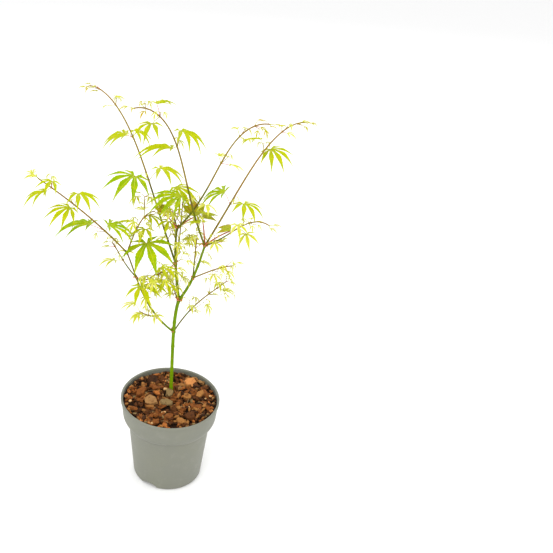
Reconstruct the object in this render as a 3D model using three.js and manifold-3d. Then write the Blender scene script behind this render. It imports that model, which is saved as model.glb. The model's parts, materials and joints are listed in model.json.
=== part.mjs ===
// A young Japanese maple in spring leaf, grown together with its round nursery pot.
// Millimetres, +Z up. The origin is the middle of the pot's flat underside, and the best side faces -Y.
// The wood is a tree of limbs, each an arc in an upright plane. Every spray is one limb that carries pairs
// of palmate leaves by a seeded rule, and keeps clear of all the wood and leaves that stand before it.
import * as THREE from 'three';
import { mergeVertices } from 'three/addons/utils/BufferGeometryUtils.js';
import Module from 'manifold-3d';

const wasm = await Module();
wasm.setup();

// Driving dimensions of the pot
const POT_RIM_DIAMETER = 105;
const POT_HEIGHT = 98.6;
const POT_FOOT_DIAMETER = 75;
const POT_WALL = 1.5;
const POT_FLOOR = 3;
const LIP_HEIGHT = 3;
const LIP_PROUD = 0.8;
const COLLAR_HEIGHT = 18;
const COLLAR_FLARE = 1.6;
const SHOULDER_HEIGHT = 12;
const SHOULDER_STEP = 6.4;
const SHOULDER_BELLY = { across: 0.55, low: 0.2, high: 0.6 };
const SHOULDER_SEGMENTS = 4;
const POT_SEGMENTS = 32;

// The two arched drain recesses in the pot's foot
const RECESS_WIDTH = 19;
const RECESS_HEIGHT = 5.5;
const RECESS_SPRING = 0.1;
const RECESS_CROWN = 0.1;
const RECESS_HAUNCH = 0.8;
const RECESS_CURVE_STEPS = 4;
const RECESS_DEPTH = 7;
const RECESS_TURNS = [-120, 60];
const DRAIN_DIAMETER = 5;
const DRAIN_SIDES = 12;

// The bark mulch, slightly mounded round the trunk
const MULCH_EDGE_DROP = 8;
const MULCH_MOUND = 3.2;
const MULCH_BUMP = 1.1;
const MULCH_WAVE_LENGTHS = { x: 15, y: 17, skew: 11 };
const MULCH_SEGMENTS = 24;
const MULCH_RINGS = 5;
const MULCH_LEVEL_RADIUS = 7;

// Clear distance between two bodies that touch on the plant
const SEAM = 0.3;
const MERGE_DISTANCE = 1e-4;

// The foot of the trunk, on the mulch
const GROUND = new THREE.Vector3(0.5, 14, 94);

// Limbs: heading in degrees from +X towards +Y, rise of the first stretch, bend over the whole length,
// extra nod of the tip, length and the diameters at the two ends. `at` is the place on the parent, 0 to 1.
const FLARE = { girth: 1.3, length: 7 };
const WOOD = {
  trunk: {
    heading: -48, rise: 90, bend: 2, nod: -19, length: 119, girth: [4.3, 3.5], sides: 10,
  },
  left_bough: {
    parent: 'trunk', at: 0.65, heading: 200, rise: 44, bend: 46, nod: -21, length: 112,
    girth: [2.1, 1.4], sides: 8,
  },
  leader: {
    parent: 'trunk', at: 1, heading: 129, rise: 75, bend: 14, nod: 10, length: 77,
    girth: [2.8, 1.8], sides: 8,
  },
  right_bough: {
    parent: 'trunk', at: 1, heading: -23, rise: 59, bend: 26, nod: -9, length: 71,
    girth: [2.6, 1.9], sides: 8,
  },
};

// Sprays: the stem is a limb as above. Its nodes are places from 0 to 1. For each there is the length of
// its larger leaf, the turn of that leaf's stalk round the stem, from the left-hand side over the top, and
// the heading that its blade faces. Where the leaf opposite faces its own way, its heading is given too.
// Only the bushy sprays in the heart of the crown have side twigs.
const SPRAYS = {
  far_left_spray: {
    parent: 'left_bough', at: 1, heading: 202, rise: 52, bend: -12, nod: 1, length: 117,
    girth: [1.4, 0.9], nodes: [0.28, 0.63, 0.87, 1], blades: [38, 26, 22, 13],
    turns: [-160, 100, -25, 25], faces: [165, -60, -145, 160], opposite: [20, -130, -105, 100],
    seed: 1,
  },
  left_inner_spray: {
    parent: 'left_bough', at: 1, heading: 40, rise: 68, bend: -12, nod: -74, length: 51,
    girth: [1.2, 0.9], nodes: [0.12, 0.45, 0.75, 1], blades: [38, 23, 19, 13],
    turns: [-110, -145, -60, 55], faces: [-70, -105, -40, 20], opposite: [10, 150, 120, 80],
    seed: 2, bushy: true,
  },
  left_low_spray: {
    parent: 'left_bough', at: 0.74, heading: 150, rise: 33, bend: 37, nod: -28, length: 41,
    girth: [1.1, 0.9], nodes: [0.5, 0.87, 1], blades: [18, 10, 8],
    turns: [-45, -15, 140], faces: [200, 180, 150], seed: 3,
  },
  left_under_spray: {
    parent: 'left_bough', at: 0.73, heading: -40, rise: -6, bend: 104, nod: -95, length: 35,
    girth: [1.1, 0.9], nodes: [0.2, 0.5, 0.9, 1], blades: [26, 15, 22, 10],
    turns: [165, 90, -75, 130], faces: [-70, -100, -70, 10], seed: 4, bushy: true,
  },
  left_bottom_spray: {
    parent: 'left_bough', at: 0.25, heading: 215, rise: 21, bend: 20, nod: 6, length: 26,
    girth: [1.1, 0.9], nodes: [0.15, 0.42, 1], blades: [14, 15, 15],
    turns: [70, 10, 140], faces: [-50, -100, -160], seed: 5,
  },
  fork_spray: {
    parent: 'trunk', at: 0.99, heading: 195, rise: 62, bend: 30, nod: -20, length: 26,
    girth: [1.1, 0.9], nodes: [0.35, 0.7, 1], blades: [13, 14, 9],
    turns: [20, -50, 160], faces: [180, -80, 60], seed: 6, bushy: true,
  },
  top_left_spray: {
    parent: 'leader', at: 0.5, heading: 136, rise: 60, bend: 8, nod: -78, length: 207,
    girth: [1.7, 0.9], nodes: [0.12, 0.41, 0.62, 0.8, 0.93, 1], blades: [14, 36, 28, 13, 9, 8],
    turns: [70, -65, -105, 95, -75, 0], faces: [190, -130, 170, 50, 155, 200],
    opposite: [0, -30, -40, 155, 200, 150], seed: 27,
  },
  leader_twig_spray: {
    parent: 'leader', at: 0.49, heading: -35, rise: 82, bend: 11, nod: -9, length: 73,
    girth: [1.2, 0.9], nodes: [0.3, 0.62, 1], blades: [17, 13, 32],
    turns: [160, 40, -140], faces: [-120, 0, -140], opposite: [60, 180, -70], seed: 8, bushy: true,
  },
  top_right_spray: {
    parent: 'leader', at: 1, heading: -42, rise: 49, bend: 41, nod: -84, length: 164,
    girth: [1.6, 0.9], nodes: [0.25, 0.57, 0.78, 0.9, 1], blades: [18, 15, 13, 9, 8],
    turns: [-40, -75, -85, 110, 0], faces: [-70, -10, 55, 0, -10], opposite: [150, 60, 110, -40, 30],
    seed: 9,
  },
  leader_tip_spray: {
    parent: 'leader', at: 1, heading: 170, rise: 78, bend: -20, nod: 0, length: 22,
    girth: [1.2, 0.9], nodes: [0.3, 0.65, 1], blades: [19, 16, 12],
    turns: [-20, 60, -110], faces: [-90, 180, 100], seed: 10, bushy: true,
  },
  top_middle_spray: {
    parent: 'right_bough', at: 1, heading: 222, rise: 64, bend: 26, nod: -91, length: 181,
    girth: [1.6, 0.9], nodes: [0.17, 0.63, 0.83, 0.93, 1], blades: [23, 32, 23, 9, 8],
    turns: [-20, -35, -70, -30, 150], faces: [120, -170, -110, -110, -150],
    opposite: [60, -45, 70, 60, -90], seed: 21,
  },
  far_right_spray: {
    parent: 'right_bough', at: 1, heading: 36, rise: 53, bend: 8, nod: -79, length: 163,
    girth: [1.6, 0.9], nodes: [0.28, 0.64, 0.8, 0.92, 1], blades: [30, 28, 13, 9, 8],
    turns: [80, -55, 70, 140, 0], faces: [155, -60, 100, 0, 0], opposite: [-65, 130, -35, 60, -40],
    seed: 12,
  },
  right_spray: {
    parent: 'right_bough', at: 1, heading: -30, rise: 33, bend: 32, nod: -88, length: 77,
    girth: [1.2, 0.9], nodes: [0.15, 0.57, 0.75, 1], blades: [17, 18, 10, 8],
    turns: [35, -105, 135, 180], faces: [100, -80, 90, -30], seed: 13,
  },
  right_low_spray: {
    parent: 'right_bough', at: 0.45, heading: -55, rise: 38, bend: -2, nod: -10, length: 72,
    girth: [1.2, 0.9], nodes: [0.53, 0.82, 1], blades: [13, 11, 8],
    turns: [-135, -95, 45], faces: [-70, -40, 10], seed: 14,
  },
  middle_spray: {
    parent: 'right_bough', at: 0.45, heading: 80, rise: 74, bend: 1, nod: -6, length: 43,
    girth: [1.2, 0.9], nodes: [0.3, 0.7, 1], blades: [17, 14, 11],
    turns: [-50, -180, -60], faces: [-80, 100, 60], seed: 15, bushy: true,
  },
  right_bottom_spray: {
    parent: 'trunk', at: 0.65, heading: 44, rise: 48, bend: -60, nod: 29, length: 84,
    girth: [1.3, 0.9], nodes: [0.33, 0.67, 0.82, 1], blades: [13, 9, 16, 9],
    turns: [85, 120, 15, -150], faces: [-85, 45, -75, -10], seed: 16, bushy: true,
  },
};

// The seeded rule of leaf growth. Towards a stem's tip the blades are younger: less open and less drooping.
const GROWTH = {
  stalkAngle: 50,
  stalkSag: -20,
  stalkShare: [0.4, 0.6],
  stalkGirth: [0.56, 0.4],
  partnerShare: [0.8, 1],
  partnerTurn: [-20, 20],
  partnerLift: 0.35,
  follow: 0.4,
  drift: [-12, 12],
  pitch: [-16, 6],
  roll: [-14, 14],
  sideTwigChance: 0.5,
  sideTwigAngle: 42,
  sideTwigSag: 14,
  sideTwigShare: [1, 1.5],
  sideTwigLeaves: [[0.6, 0], [1, 90], [1, 270]],
  sideTwigLeaf: 0.6,
  sideTwigSmallestLeaf: 12,
  sideTwigGirth: [0.8, 0.8],
  swings: [0, 16, -16, 32, -32, 48, -48, 64, -64],
  open: [1, 0.6],
  droop: [56, 36],
  stalkMarks: [0.6, 1],
  marks: [0.3, 0.55, 0.8, 1],
  clearOfWood: { least: 1.3, share: 0.04 },
  clearOfLeaf: { least: 1.3, share: 0.055 },
};

// Palmate blades: each lobe's turn from the middle one and its share of the blade's length
const BLADES = {
  seven: { smallest: 24, lobes: [[0, 1], [36, 0.94], [74, 0.76], [116, 0.42]], plain: 116 },
  five: { smallest: 12, lobes: [[0, 1], [42, 0.86], [94, 0.5]], plain: 94 },
  three: { smallest: 0, lobes: [[0, 1], [50, 0.7]], plain: 50 },
};
const BLADE_THICKNESS = 0.5;
const LOBE_WIDTH = 0.2;
const LOBE_WIDEST = 0.56;
const NOTCH_DEPTH = 0.27;
const BLADE_HEEL = 0.09;

// Arc steps of the limbs and of the plan's sums
const ARC_STEPS = 60;
const WOOD_STEP = 9;
const TWIG_STEP = 11;
const LIMB_TURN_STEP = 30;
const TWIG_SIDES = 4;
const STALK_SIDES = 3;
const STALK_STEPS = 2;

const COLOURS = {
  pot: 0x8f948a,
  bark_mulch: 0x6b4a33,
  trunk: 0x8fa83a,
  left_bough: 0x93a83c,
  leader: 0x97a83e,
  right_bough: 0x95a53d,
  leaf: 0xa9c42a,
};
const ROUGHNESS = { pot: 0.65, bark_mulch: 0.95, wood: 0.6, leaf: 0.55 };

const radians = THREE.MathUtils.degToRad;
const lerp = THREE.MathUtils.lerp;

// A seeded stream of numbers from 0 to 1
function seeded(seed) {
  let state = seed;
  return () => {
    state = (Math.imul(state, 1664525) + 1013904223) >>> 0;
    return state / 4294967296;
  };
}

const within = (range, random) => lerp(range[0], range[1], random());
const wrapTurn = (degrees) => THREE.MathUtils.euclideanModulo(degrees + 180, 360) - 180;

// A limb's middle line: an arc in the upright plane of its heading, nodding towards the tip
class LimbCurve extends THREE.Curve {
  constructor(start, { heading, rise, bend = 0, nod = 0, length }) {
    super();
    this.heading = heading;
    this.elevation = (t) => rise + bend * t + nod * t ** 4;
    this.swing = Math.abs(bend) + Math.abs(nod);
    this.length = length;
    this.points = [start.clone()];
    const step = length / ARC_STEPS;
    for (let i = 0; i < ARC_STEPS; i += 1) {
      const along = this.direction((i + 0.5) / ARC_STEPS);
      this.points.push(this.points[i].clone().addScaledVector(along, step));
    }
  }

  direction(t) {
    const turn = radians(this.heading);
    const up = radians(this.elevation(t));
    return new THREE.Vector3(Math.cos(up) * Math.cos(turn), Math.cos(up) * Math.sin(turn), Math.sin(up));
  }

  side() {
    const turn = radians(this.heading);
    return new THREE.Vector3(-Math.sin(turn), Math.cos(turn), 0);
  }

  getPoint(t, target = new THREE.Vector3()) {
    const place = THREE.MathUtils.clamp(t, 0, 1) * ARC_STEPS;
    const index = Math.min(Math.floor(place), ARC_STEPS - 1);
    return target.lerpVectors(this.points[index], this.points[index + 1], place - index);
  }

  // A shoot leaves the limb at an angle to it and turned round it
  branch(t, angle, turn) {
    const along = this.direction(t);
    const side = this.side();
    const over = new THREE.Vector3().crossVectors(along, side);
    const away = side.multiplyScalar(Math.cos(radians(turn)));
    away.addScaledVector(over, Math.sin(radians(turn)));
    const out = along.multiplyScalar(Math.cos(radians(angle)));
    out.addScaledVector(away, Math.sin(radians(angle)));
    return {
      heading: THREE.MathUtils.radToDeg(Math.atan2(out.y, out.x)),
      rise: THREE.MathUtils.radToDeg(Math.asin(out.z)),
    };
  }
}

// A closed tapering tube: a unit cylinder bent along the limb, `grow` thicker all round and its far end
// `extra` longer
function limbGeometry(curve, girth, { sides, step, steps, flare, grow = 0, extra = 0 }) {
  const turns = Math.ceil(curve.swing / LIMB_TURN_STEP);
  const count = steps ?? Math.max(2, Math.round(curve.length / step), turns);
  const geometry = new THREE.CylinderGeometry(1, 1, 1, sides, count);
  const place = geometry.attributes.position;
  for (let i = 0; i < place.count; i += 1) {
    const t = place.getY(i) + 0.5;
    const swell = flare ? flare.girth * Math.exp((-t * curve.length) / flare.length) : 0;
    const radius = (lerp(girth[0], girth[1], t) + swell) / 2 + grow;
    const along = curve.direction(t);
    const side = curve.side();
    const over = new THREE.Vector3().crossVectors(along, side);
    const point = curve.getPoint(t);
    point.addScaledVector(side, place.getX(i) * radius);
    point.addScaledVector(over, -place.getZ(i) * radius);
    if (t === 0) point.addScaledVector(along, -grow);
    if (t === 1) point.addScaledVector(along, grow + extra);
    place.setXYZ(i, point.x, point.y, point.z);
  }
  return geometry;
}

// The half outline of a blade, mirrored: notch, two shoulders and a tip for each lobe, and the heel at
// the stalk
function bladeShape(length, kind, open) {
  const { lobes, plain } = kind;
  const right = [];
  const polar = (radius, turn) => new THREE.Vector2(radius * Math.cos(turn), radius * Math.sin(turn));
  lobes.forEach(([turn, share], index) => {
    const middle = radians(turn * open);
    const reach = length * share;
    const half = (reach * LOBE_WIDTH) / 2;
    const waist = reach * LOBE_WIDEST;
    const spread = Math.atan2(half, waist);
    const wide = Math.hypot(half, waist);
    const next = lobes[index + 1];
    const isPlain = turn === plain;
    if (index > 0 && !isPlain) right.push(polar(wide, middle - spread));
    right.push(polar(reach, middle));
    if (!isPlain) right.push(polar(wide, middle + spread));
    if (next) right.push(polar(length * next[1] * NOTCH_DEPTH, radians(((turn + next[0]) / 2) * open)));
  });
  const left = right.slice(1).reverse().map((point) => new THREE.Vector2(point.x, -point.y));
  const heel = new THREE.Vector2(-length * BLADE_HEEL, 0);
  return new THREE.Shape([...right, heel, ...left]);
}

function bladeKind(length) {
  return Object.values(BLADES).find((kind) => length >= kind.smallest);
}

// A point of the flat blade, bent down over the droop and set at the stalk's tip
function bladePoint(leaf, x, y, z) {
  const reach = Math.hypot(x, y);
  const curl = radians(leaf.droop) / leaf.blade;
  const angle = reach * curl;
  const shrink = reach > 0 ? Math.sin(angle) / curl / reach : 1;
  const lift = z * Math.cos(angle) - (1 - Math.cos(angle)) / curl;
  const outward = 1 + (reach > 0 ? (z * Math.sin(angle)) / (reach * shrink) : 0);
  const local = new THREE.Vector3(x * shrink * outward, y * shrink * outward, lift);
  return local.applyMatrix4(leaf.matrix);
}

function bladeGeometry(leaf) {
  const shape = bladeShape(leaf.blade, bladeKind(leaf.blade), leaf.open);
  const geometry = new THREE.ExtrudeGeometry(shape, { depth: BLADE_THICKNESS, bevelEnabled: false });
  geometry.translate(0, 0, -BLADE_THICKNESS / 2);
  const place = geometry.attributes.position;
  for (let i = 0; i < place.count; i += 1) {
    const point = bladePoint(leaf, place.getX(i), place.getY(i), place.getZ(i));
    place.setXYZ(i, point.x, point.y, point.z);
  }
  return geometry;
}

// A leaf on its stalk, which leaves the twig at `at` and is turned round it
function makeLeaf(twig, at, turn, blade, habit) {
  const start = twig.getPoint(at);
  const away = twig.branch(at, GROWTH.stalkAngle, turn);
  const stalk = new LimbCurve(start, { ...away, bend: GROWTH.stalkSag, length: blade * habit.stalk });
  const forward = new THREE.Matrix4().makeRotationY(radians(-habit.pitch));
  const inward = wrapTurn(twig.heading - away.heading);
  const heading = (habit.face ?? away.heading + GROWTH.follow * inward) + habit.drift;
  const matrix = new THREE.Matrix4().makeRotationZ(radians(heading));
  matrix.multiply(forward).multiply(new THREE.Matrix4().makeRotationX(radians(habit.roll)));
  matrix.setPosition(stalk.getPoint(1));
  const { open, droop } = habit;
  const leaf = { twig, stalk, blade, matrix, open, droop };
  leaf.marks = leafMarks(leaf);
  return leaf;
}

// Marks along the lobes and the stalk, by which leaves are kept apart
function leafMarks(leaf) {
  const marks = GROWTH.stalkMarks.map((at) => leaf.stalk.getPoint(at));
  for (const [turn, share] of bladeKind(leaf.blade).lobes) {
    for (const part of GROWTH.marks) {
      const reach = leaf.blade * share * part;
      const x = reach * Math.cos(radians(turn * leaf.open));
      const y = reach * Math.sin(radians(turn * leaf.open));
      marks.push(bladePoint(leaf, x, y, 0));
      if (turn > 0) marks.push(bladePoint(leaf, x, -y, 0));
    }
  }
  return marks;
}

// Whether a leaf keeps clear of all the wood and leaves that stand already
function standsClear(leaf, wood, leaves) {
  for (const mark of leaf.marks) {
    for (const { curve, girth } of wood) {
      const clear = GROWTH.clearOfWood.least + GROWTH.clearOfWood.share * leaf.blade + girth[0] / 2;
      if (curve === leaf.twig && mark === leaf.marks[0]) continue;
      if (curve.points.some((point) => point.distanceTo(mark) < clear)) return false;
    }
    for (const other of leaves) {
      const clear = GROWTH.clearOfLeaf.least + GROWTH.clearOfLeaf.share * (leaf.blade + other.blade);
      if (other.marks.some((point) => point.distanceTo(mark) < clear)) return false;
    }
  }
  return true;
}

// Grows one leaf, swung round its twig by the first swing that stands clear, or none. `youth` is the
// place of its node on the stem.
function growLeaf({ twig, at, turn, blade, face, youth }, random, wood, leaves) {
  const habit = {
    face,
    open: lerp(...GROWTH.open, youth),
    droop: lerp(...GROWTH.droop, youth),
    stalk: within(GROWTH.stalkShare, random),
    drift: within(GROWTH.drift, random),
    pitch: within(GROWTH.pitch, random),
    roll: within(GROWTH.roll, random),
  };
  for (const swing of GROWTH.swings) {
    const leaf = makeLeaf(twig, at, turn + swing, blade, habit);
    if (standsClear(leaf, wood, leaves)) {
      leaves.push(leaf);
      return leaf;
    }
  }
  return null;
}

// Grows one spray: at each node a leaf and its partner opposite, and at some a side twig with small leaves
function growSpray(plan, stem, random, wood, leaves) {
  const own = { twigs: [{ curve: stem, girth: plan.girth }], leaves: [] };
  const add = (place) => {
    const leaf = growLeaf(place, random, wood, leaves);
    if (leaf) own.leaves.push(leaf);
  };
  plan.nodes.forEach((at, index) => {
    const turn = plan.turns[index];
    const blade = plan.blades[index];
    add({ twig: stem, at, turn, blade, face: plan.faces[index], youth: at });
    const partner = blade * within(GROWTH.partnerShare, random);
    const fromTop = wrapTurn(turn + 90);
    const across = 90 + fromTop * (1 - GROWTH.partnerLift) + within(GROWTH.partnerTurn, random);
    add({ twig: stem, at, turn: across, blade: partner, face: plan.opposite?.[index], youth: at });
    const branches = random() < GROWTH.sideTwigChance && partner > GROWTH.sideTwigSmallestLeaf;
    if (!plan.bushy || !branches || index === plan.nodes.length - 1) return;
    const side = new LimbCurve(stem.getPoint(at), {
      ...stem.branch(at, GROWTH.sideTwigAngle, (turn + across) / 2),
      bend: GROWTH.sideTwigSag,
      length: partner * within(GROWTH.sideTwigShare, random),
    });
    const twig = { curve: side, girth: GROWTH.sideTwigGirth };
    own.twigs.push(twig);
    wood.push(twig);
    for (const [place, round] of GROWTH.sideTwigLeaves) {
      const blade = partner * GROWTH.sideTwigLeaf;
      add({ twig: side, at: place, turn: turn + round, blade, youth: at });
    }
  });
  return own;
}

// Solids for joining and cutting
function solidOf(geometry) {
  const bare = geometry.clone();
  bare.deleteAttribute('normal');
  bare.deleteAttribute('uv');
  const merged = mergeVertices(bare, MERGE_DISTANCE);
  return new wasm.Manifold(new wasm.Mesh({
    numProp: 3,
    vertProperties: merged.attributes.position.array,
    triVerts: new Uint32Array(merged.index.array),
  }));
}

function geometryOf(solid) {
  const mesh = solid.getMesh();
  const geometry = new THREE.BufferGeometry();
  geometry.setAttribute('position', new THREE.BufferAttribute(mesh.vertProperties, 3));
  geometry.setIndex(new THREE.BufferAttribute(mesh.triVerts, 1));
  const faceted = geometry.toNonIndexed();
  faceted.computeVertexNormals();
  return faceted;
}

const joined = (solids) => solids.reduce((whole, solid) => whole.add(solid));

// The largest body of a cut solid
function mainBody(solid) {
  const bodies = solid.decompose();
  return bodies.reduce((best, body) => (body.volume() > best.volume() ? body : best));
}

// The pot's outline from the foot up to the rim, moved inwards by `inset`
function potOutline(inset) {
  const rim = POT_RIM_DIAMETER / 2;
  const collarTop = rim - LIP_PROUD;
  const collarFoot = collarTop - COLLAR_FLARE;
  const neck = collarFoot - SHOULDER_STEP;
  const collarHeight = POT_HEIGHT - COLLAR_HEIGHT;
  const shoulderHeight = collarHeight - SHOULDER_HEIGHT;
  const low = SHOULDER_HEIGHT * SHOULDER_BELLY.low;
  const high = SHOULDER_HEIGHT * SHOULDER_BELLY.high;
  const shoulder = new THREE.CubicBezierCurve(
    new THREE.Vector2(neck, shoulderHeight),
    new THREE.Vector2(neck + SHOULDER_STEP * SHOULDER_BELLY.across, shoulderHeight + low),
    new THREE.Vector2(collarFoot, shoulderHeight + high),
    new THREE.Vector2(collarFoot, collarHeight),
  );
  const outline = [new THREE.Vector2(POT_FOOT_DIAMETER / 2, 0), ...shoulder.getPoints(SHOULDER_SEGMENTS)];
  outline.push(new THREE.Vector2(collarTop, POT_HEIGHT - LIP_HEIGHT));
  return outline.map((point) => new THREE.Vector2(point.x - inset, point.y));
}

// The shape that fills the pot's inside, `inset` from its outer face and up from the floor
function potFilling(inset, floor, top) {
  const inside = potOutline(inset);
  const wallAt = (height) => {
    const next = inside.findIndex((point) => point.y >= height);
    const [low, high] = next > 0 ? [inside[next - 1], inside[next]] : inside.slice(-2);
    return lerp(low.x, high.x, Math.min(1, (height - low.y) / (high.y - low.y)));
  };
  const profile = [new THREE.Vector2(0, floor), new THREE.Vector2(wallAt(floor), floor)];
  profile.push(...inside.filter((point) => point.y > floor && point.y < top));
  profile.push(new THREE.Vector2(wallAt(Math.min(top, POT_HEIGHT - LIP_HEIGHT)), top));
  return profile;
}

// One arched recess: a lying half-round block through the foot of the wall
function recessSolid(turn, grow) {
  const half = RECESS_WIDTH / 2 + grow;
  const crown = RECESS_HEIGHT + grow;
  const spring = crown * RECESS_SPRING;
  const arch = new THREE.Shape();
  arch.moveTo(-half, -1);
  arch.lineTo(half, -1);
  arch.lineTo(half, spring);
  arch.quadraticCurveTo(half * RECESS_HAUNCH, crown, half * RECESS_CROWN, crown);
  arch.lineTo(-half * RECESS_CROWN, crown);
  arch.quadraticCurveTo(-half * RECESS_HAUNCH, crown, -half, spring);
  const size = { depth: RECESS_DEPTH * 2, bevelEnabled: false, curveSegments: RECESS_CURVE_STEPS };
  const block = new THREE.ExtrudeGeometry(arch, size);
  block.rotateX(Math.PI / 2);
  block.rotateZ(Math.PI / 2);
  block.translate(POT_FOOT_DIAMETER / 2 - RECESS_DEPTH - grow, 0, 0);
  block.rotateZ(radians(turn));
  return solidOf(block);
}

// The drain hole up from the crown of a recess
function drainSolid(turn) {
  const radius = DRAIN_DIAMETER / 2;
  const hole = new THREE.CylinderGeometry(radius, radius, RECESS_HEIGHT, DRAIN_SIDES);
  hole.rotateX(Math.PI / 2);
  hole.translate(POT_FOOT_DIAMETER / 2 - RECESS_DEPTH / 2, 0, RECESS_HEIGHT);
  hole.rotateZ(radians(turn));
  return solidOf(hole);
}

function makePot() {
  const outer = [new THREE.Vector2(0, 0), ...potOutline(0)];
  outer.push(new THREE.Vector2(POT_RIM_DIAMETER / 2, POT_HEIGHT - LIP_HEIGHT));
  outer.push(new THREE.Vector2(POT_RIM_DIAMETER / 2, POT_HEIGHT - LIP_PROUD));
  outer.push(new THREE.Vector2(POT_RIM_DIAMETER / 2 - LIP_PROUD, POT_HEIGHT));
  outer.push(new THREE.Vector2(0, POT_HEIGHT));
  const inner = [...potFilling(POT_WALL, POT_FLOOR, POT_HEIGHT + 1), new THREE.Vector2(0, POT_HEIGHT + 1)];
  let cavity = solidOf(new THREE.LatheGeometry(inner, POT_SEGMENTS).rotateX(Math.PI / 2));
  let pot = solidOf(new THREE.LatheGeometry(outer, POT_SEGMENTS).rotateX(Math.PI / 2));
  for (const turn of RECESS_TURNS) cavity = cavity.subtract(recessSolid(turn, POT_WALL));
  pot = pot.subtract(cavity);
  for (const turn of RECESS_TURNS) {
    pot = pot.subtract(recessSolid(turn, 0));
    pot = pot.subtract(drainSolid(turn));
  }
  return geometryOf(pot);
}

// The mulch's upper face: a mound with bumps, level under the trunk
function mulchHeight(x, y) {
  const edge = POT_RIM_DIAMETER / 2 - LIP_PROUD - POT_WALL;
  const share = Math.min(1, Math.hypot(x, y) / edge);
  const across = (2 * Math.PI * x) / MULCH_WAVE_LENGTHS.x;
  const along = (2 * Math.PI * y) / MULCH_WAVE_LENGTHS.y;
  const skew = (2 * Math.PI * (y - x / 2)) / MULCH_WAVE_LENGTHS.skew;
  const bumps = Math.sin(across) * Math.cos(along) + Math.sin(skew);
  const mound = POT_HEIGHT - MULCH_EDGE_DROP + MULCH_MOUND * (1 - share ** 2) + (MULCH_BUMP * bumps) / 2;
  const near = Math.hypot(x - GROUND.x, y - GROUND.y) / MULCH_LEVEL_RADIUS;
  const level = THREE.MathUtils.clamp(2 - near, 0, 1);
  return lerp(mound, GROUND.z - SEAM, level);
}

function makeMulch() {
  const top = POT_HEIGHT - MULCH_EDGE_DROP;
  const profile = potFilling(POT_WALL + SEAM, POT_FLOOR + SEAM, top);
  const edge = profile[profile.length - 1].x;
  for (let ring = MULCH_RINGS - 1; ring >= 0; ring -= 1) {
    profile.push(new THREE.Vector2((edge * ring) / MULCH_RINGS, top));
  }
  const geometry = new THREE.LatheGeometry(profile, MULCH_SEGMENTS).rotateX(Math.PI / 2);
  const place = geometry.attributes.position;
  for (let i = 0; i < place.count; i += 1) {
    const [x, y, height] = [place.getX(i), place.getY(i), place.getZ(i)];
    place.setXYZ(i, x, y, height === Math.fround(top) ? mulchHeight(x, y) : height);
  }
  let mulch = solidOf(geometry);
  for (const turn of RECESS_TURNS) mulch = mulch.subtract(recessSolid(turn, POT_WALL + SEAM));
  return geometryOf(mainBody(mulch));
}

function addMesh(group, name, geometry, colour, roughness) {
  const material = new THREE.MeshStandardMaterial({ color: colour, roughness, metalness: 0 });
  const mesh = new THREE.Mesh(geometry, material);
  mesh.name = name;
  group.add(mesh);
}

// Every limb's middle line, each on its parent's
function makeCurves() {
  const curves = new Map();
  for (const [name, plan] of Object.entries({ ...WOOD, ...SPRAYS })) {
    const start = plan.parent ? curves.get(plan.parent).getPoint(plan.at) : GROUND;
    curves.set(name, new LimbCurve(start, plan));
  }
  return curves;
}

// The room that a limb takes from its neighbours, with the seam
function limbRoom(name, plan, curve) {
  const flare = name === 'trunk' ? FLARE : undefined;
  const shape = { sides: plan.sides ?? TWIG_SIDES, step: plan.sides ? WOOD_STEP : TWIG_STEP, flare };
  return solidOf(limbGeometry(curve, plan.girth, { ...shape, grow: SEAM }));
}

// Cuts a limb or spray clear of its parent and of the limbs that leave the parent before it
function cutClear(solid, name, plans, rooms) {
  const { parent } = plans[name];
  let cut = solid;
  for (const [other, room] of rooms) {
    if (other === name) break;
    if (other === parent || plans[other].parent === parent) cut = cut.subtract(room);
  }
  return geometryOf(mainBody(cut));
}

function makeSpraySolid(growth) {
  const solids = growth.twigs.map(({ curve, girth }) => solidOf(
    limbGeometry(curve, girth, { sides: TWIG_SIDES, step: TWIG_STEP, extra: GROWTH.stalkGirth[0] / 2 }),
  ));
  for (const leaf of growth.leaves) {
    const stalk = limbGeometry(leaf.stalk, GROWTH.stalkGirth, { sides: STALK_SIDES, steps: STALK_STEPS });
    solids.push(solidOf(stalk));
    solids.push(solidOf(bladeGeometry(leaf)));
  }
  return joined(solids);
}

function makePlant(group) {
  const plans = { ...WOOD, ...SPRAYS };
  const curves = makeCurves();
  const rooms = Object.entries(plans).map(([name, plan]) => [name, limbRoom(name, plan, curves.get(name))]);
  const wood = Object.entries(plans).map(([name, { girth }]) => ({ curve: curves.get(name), girth }));
  const leaves = [];

  for (const [name, plan] of Object.entries(WOOD)) {
    const flare = name === 'trunk' ? FLARE : undefined;
    const shape = { sides: plan.sides, step: WOOD_STEP, flare };
    const limb = solidOf(limbGeometry(curves.get(name), plan.girth, shape));
    addMesh(group, name, cutClear(limb, name, plans, rooms), COLOURS[name], ROUGHNESS.wood);
  }

  for (const [name, plan] of Object.entries(SPRAYS)) {
    const growth = growSpray(plan, curves.get(name), seeded(plan.seed), wood, leaves);
    const spray = cutClear(makeSpraySolid(growth), name, plans, rooms);
    addMesh(group, name, spray, COLOURS.leaf, ROUGHNESS.leaf);
  }
}

const maple = new THREE.Group();
addMesh(maple, 'pot', makePot(), COLOURS.pot, ROUGHNESS.pot);
addMesh(maple, 'bark_mulch', makeMulch(), COLOURS.bark_mulch, ROUGHNESS.bark_mulch);
makePlant(maple);

export default maple;
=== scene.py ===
"""Dresses a young Japanese maple in spring leaf and the round nursery pot that it grows in.

Lengths in the classes are millimetres and angles are degrees, in the row's frame: +Z is up, the middle of
the pot's underside is the origin and the best side faces -Y. Meshes are scaled to metres when they settle.
"""

import json
import logging
import math
from collections.abc import Callable, Sequence
from dataclasses import dataclass, field
from enum import Enum

import bmesh
import bpy
import numpy as np
from mathutils import Matrix, Vector, noise

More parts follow.
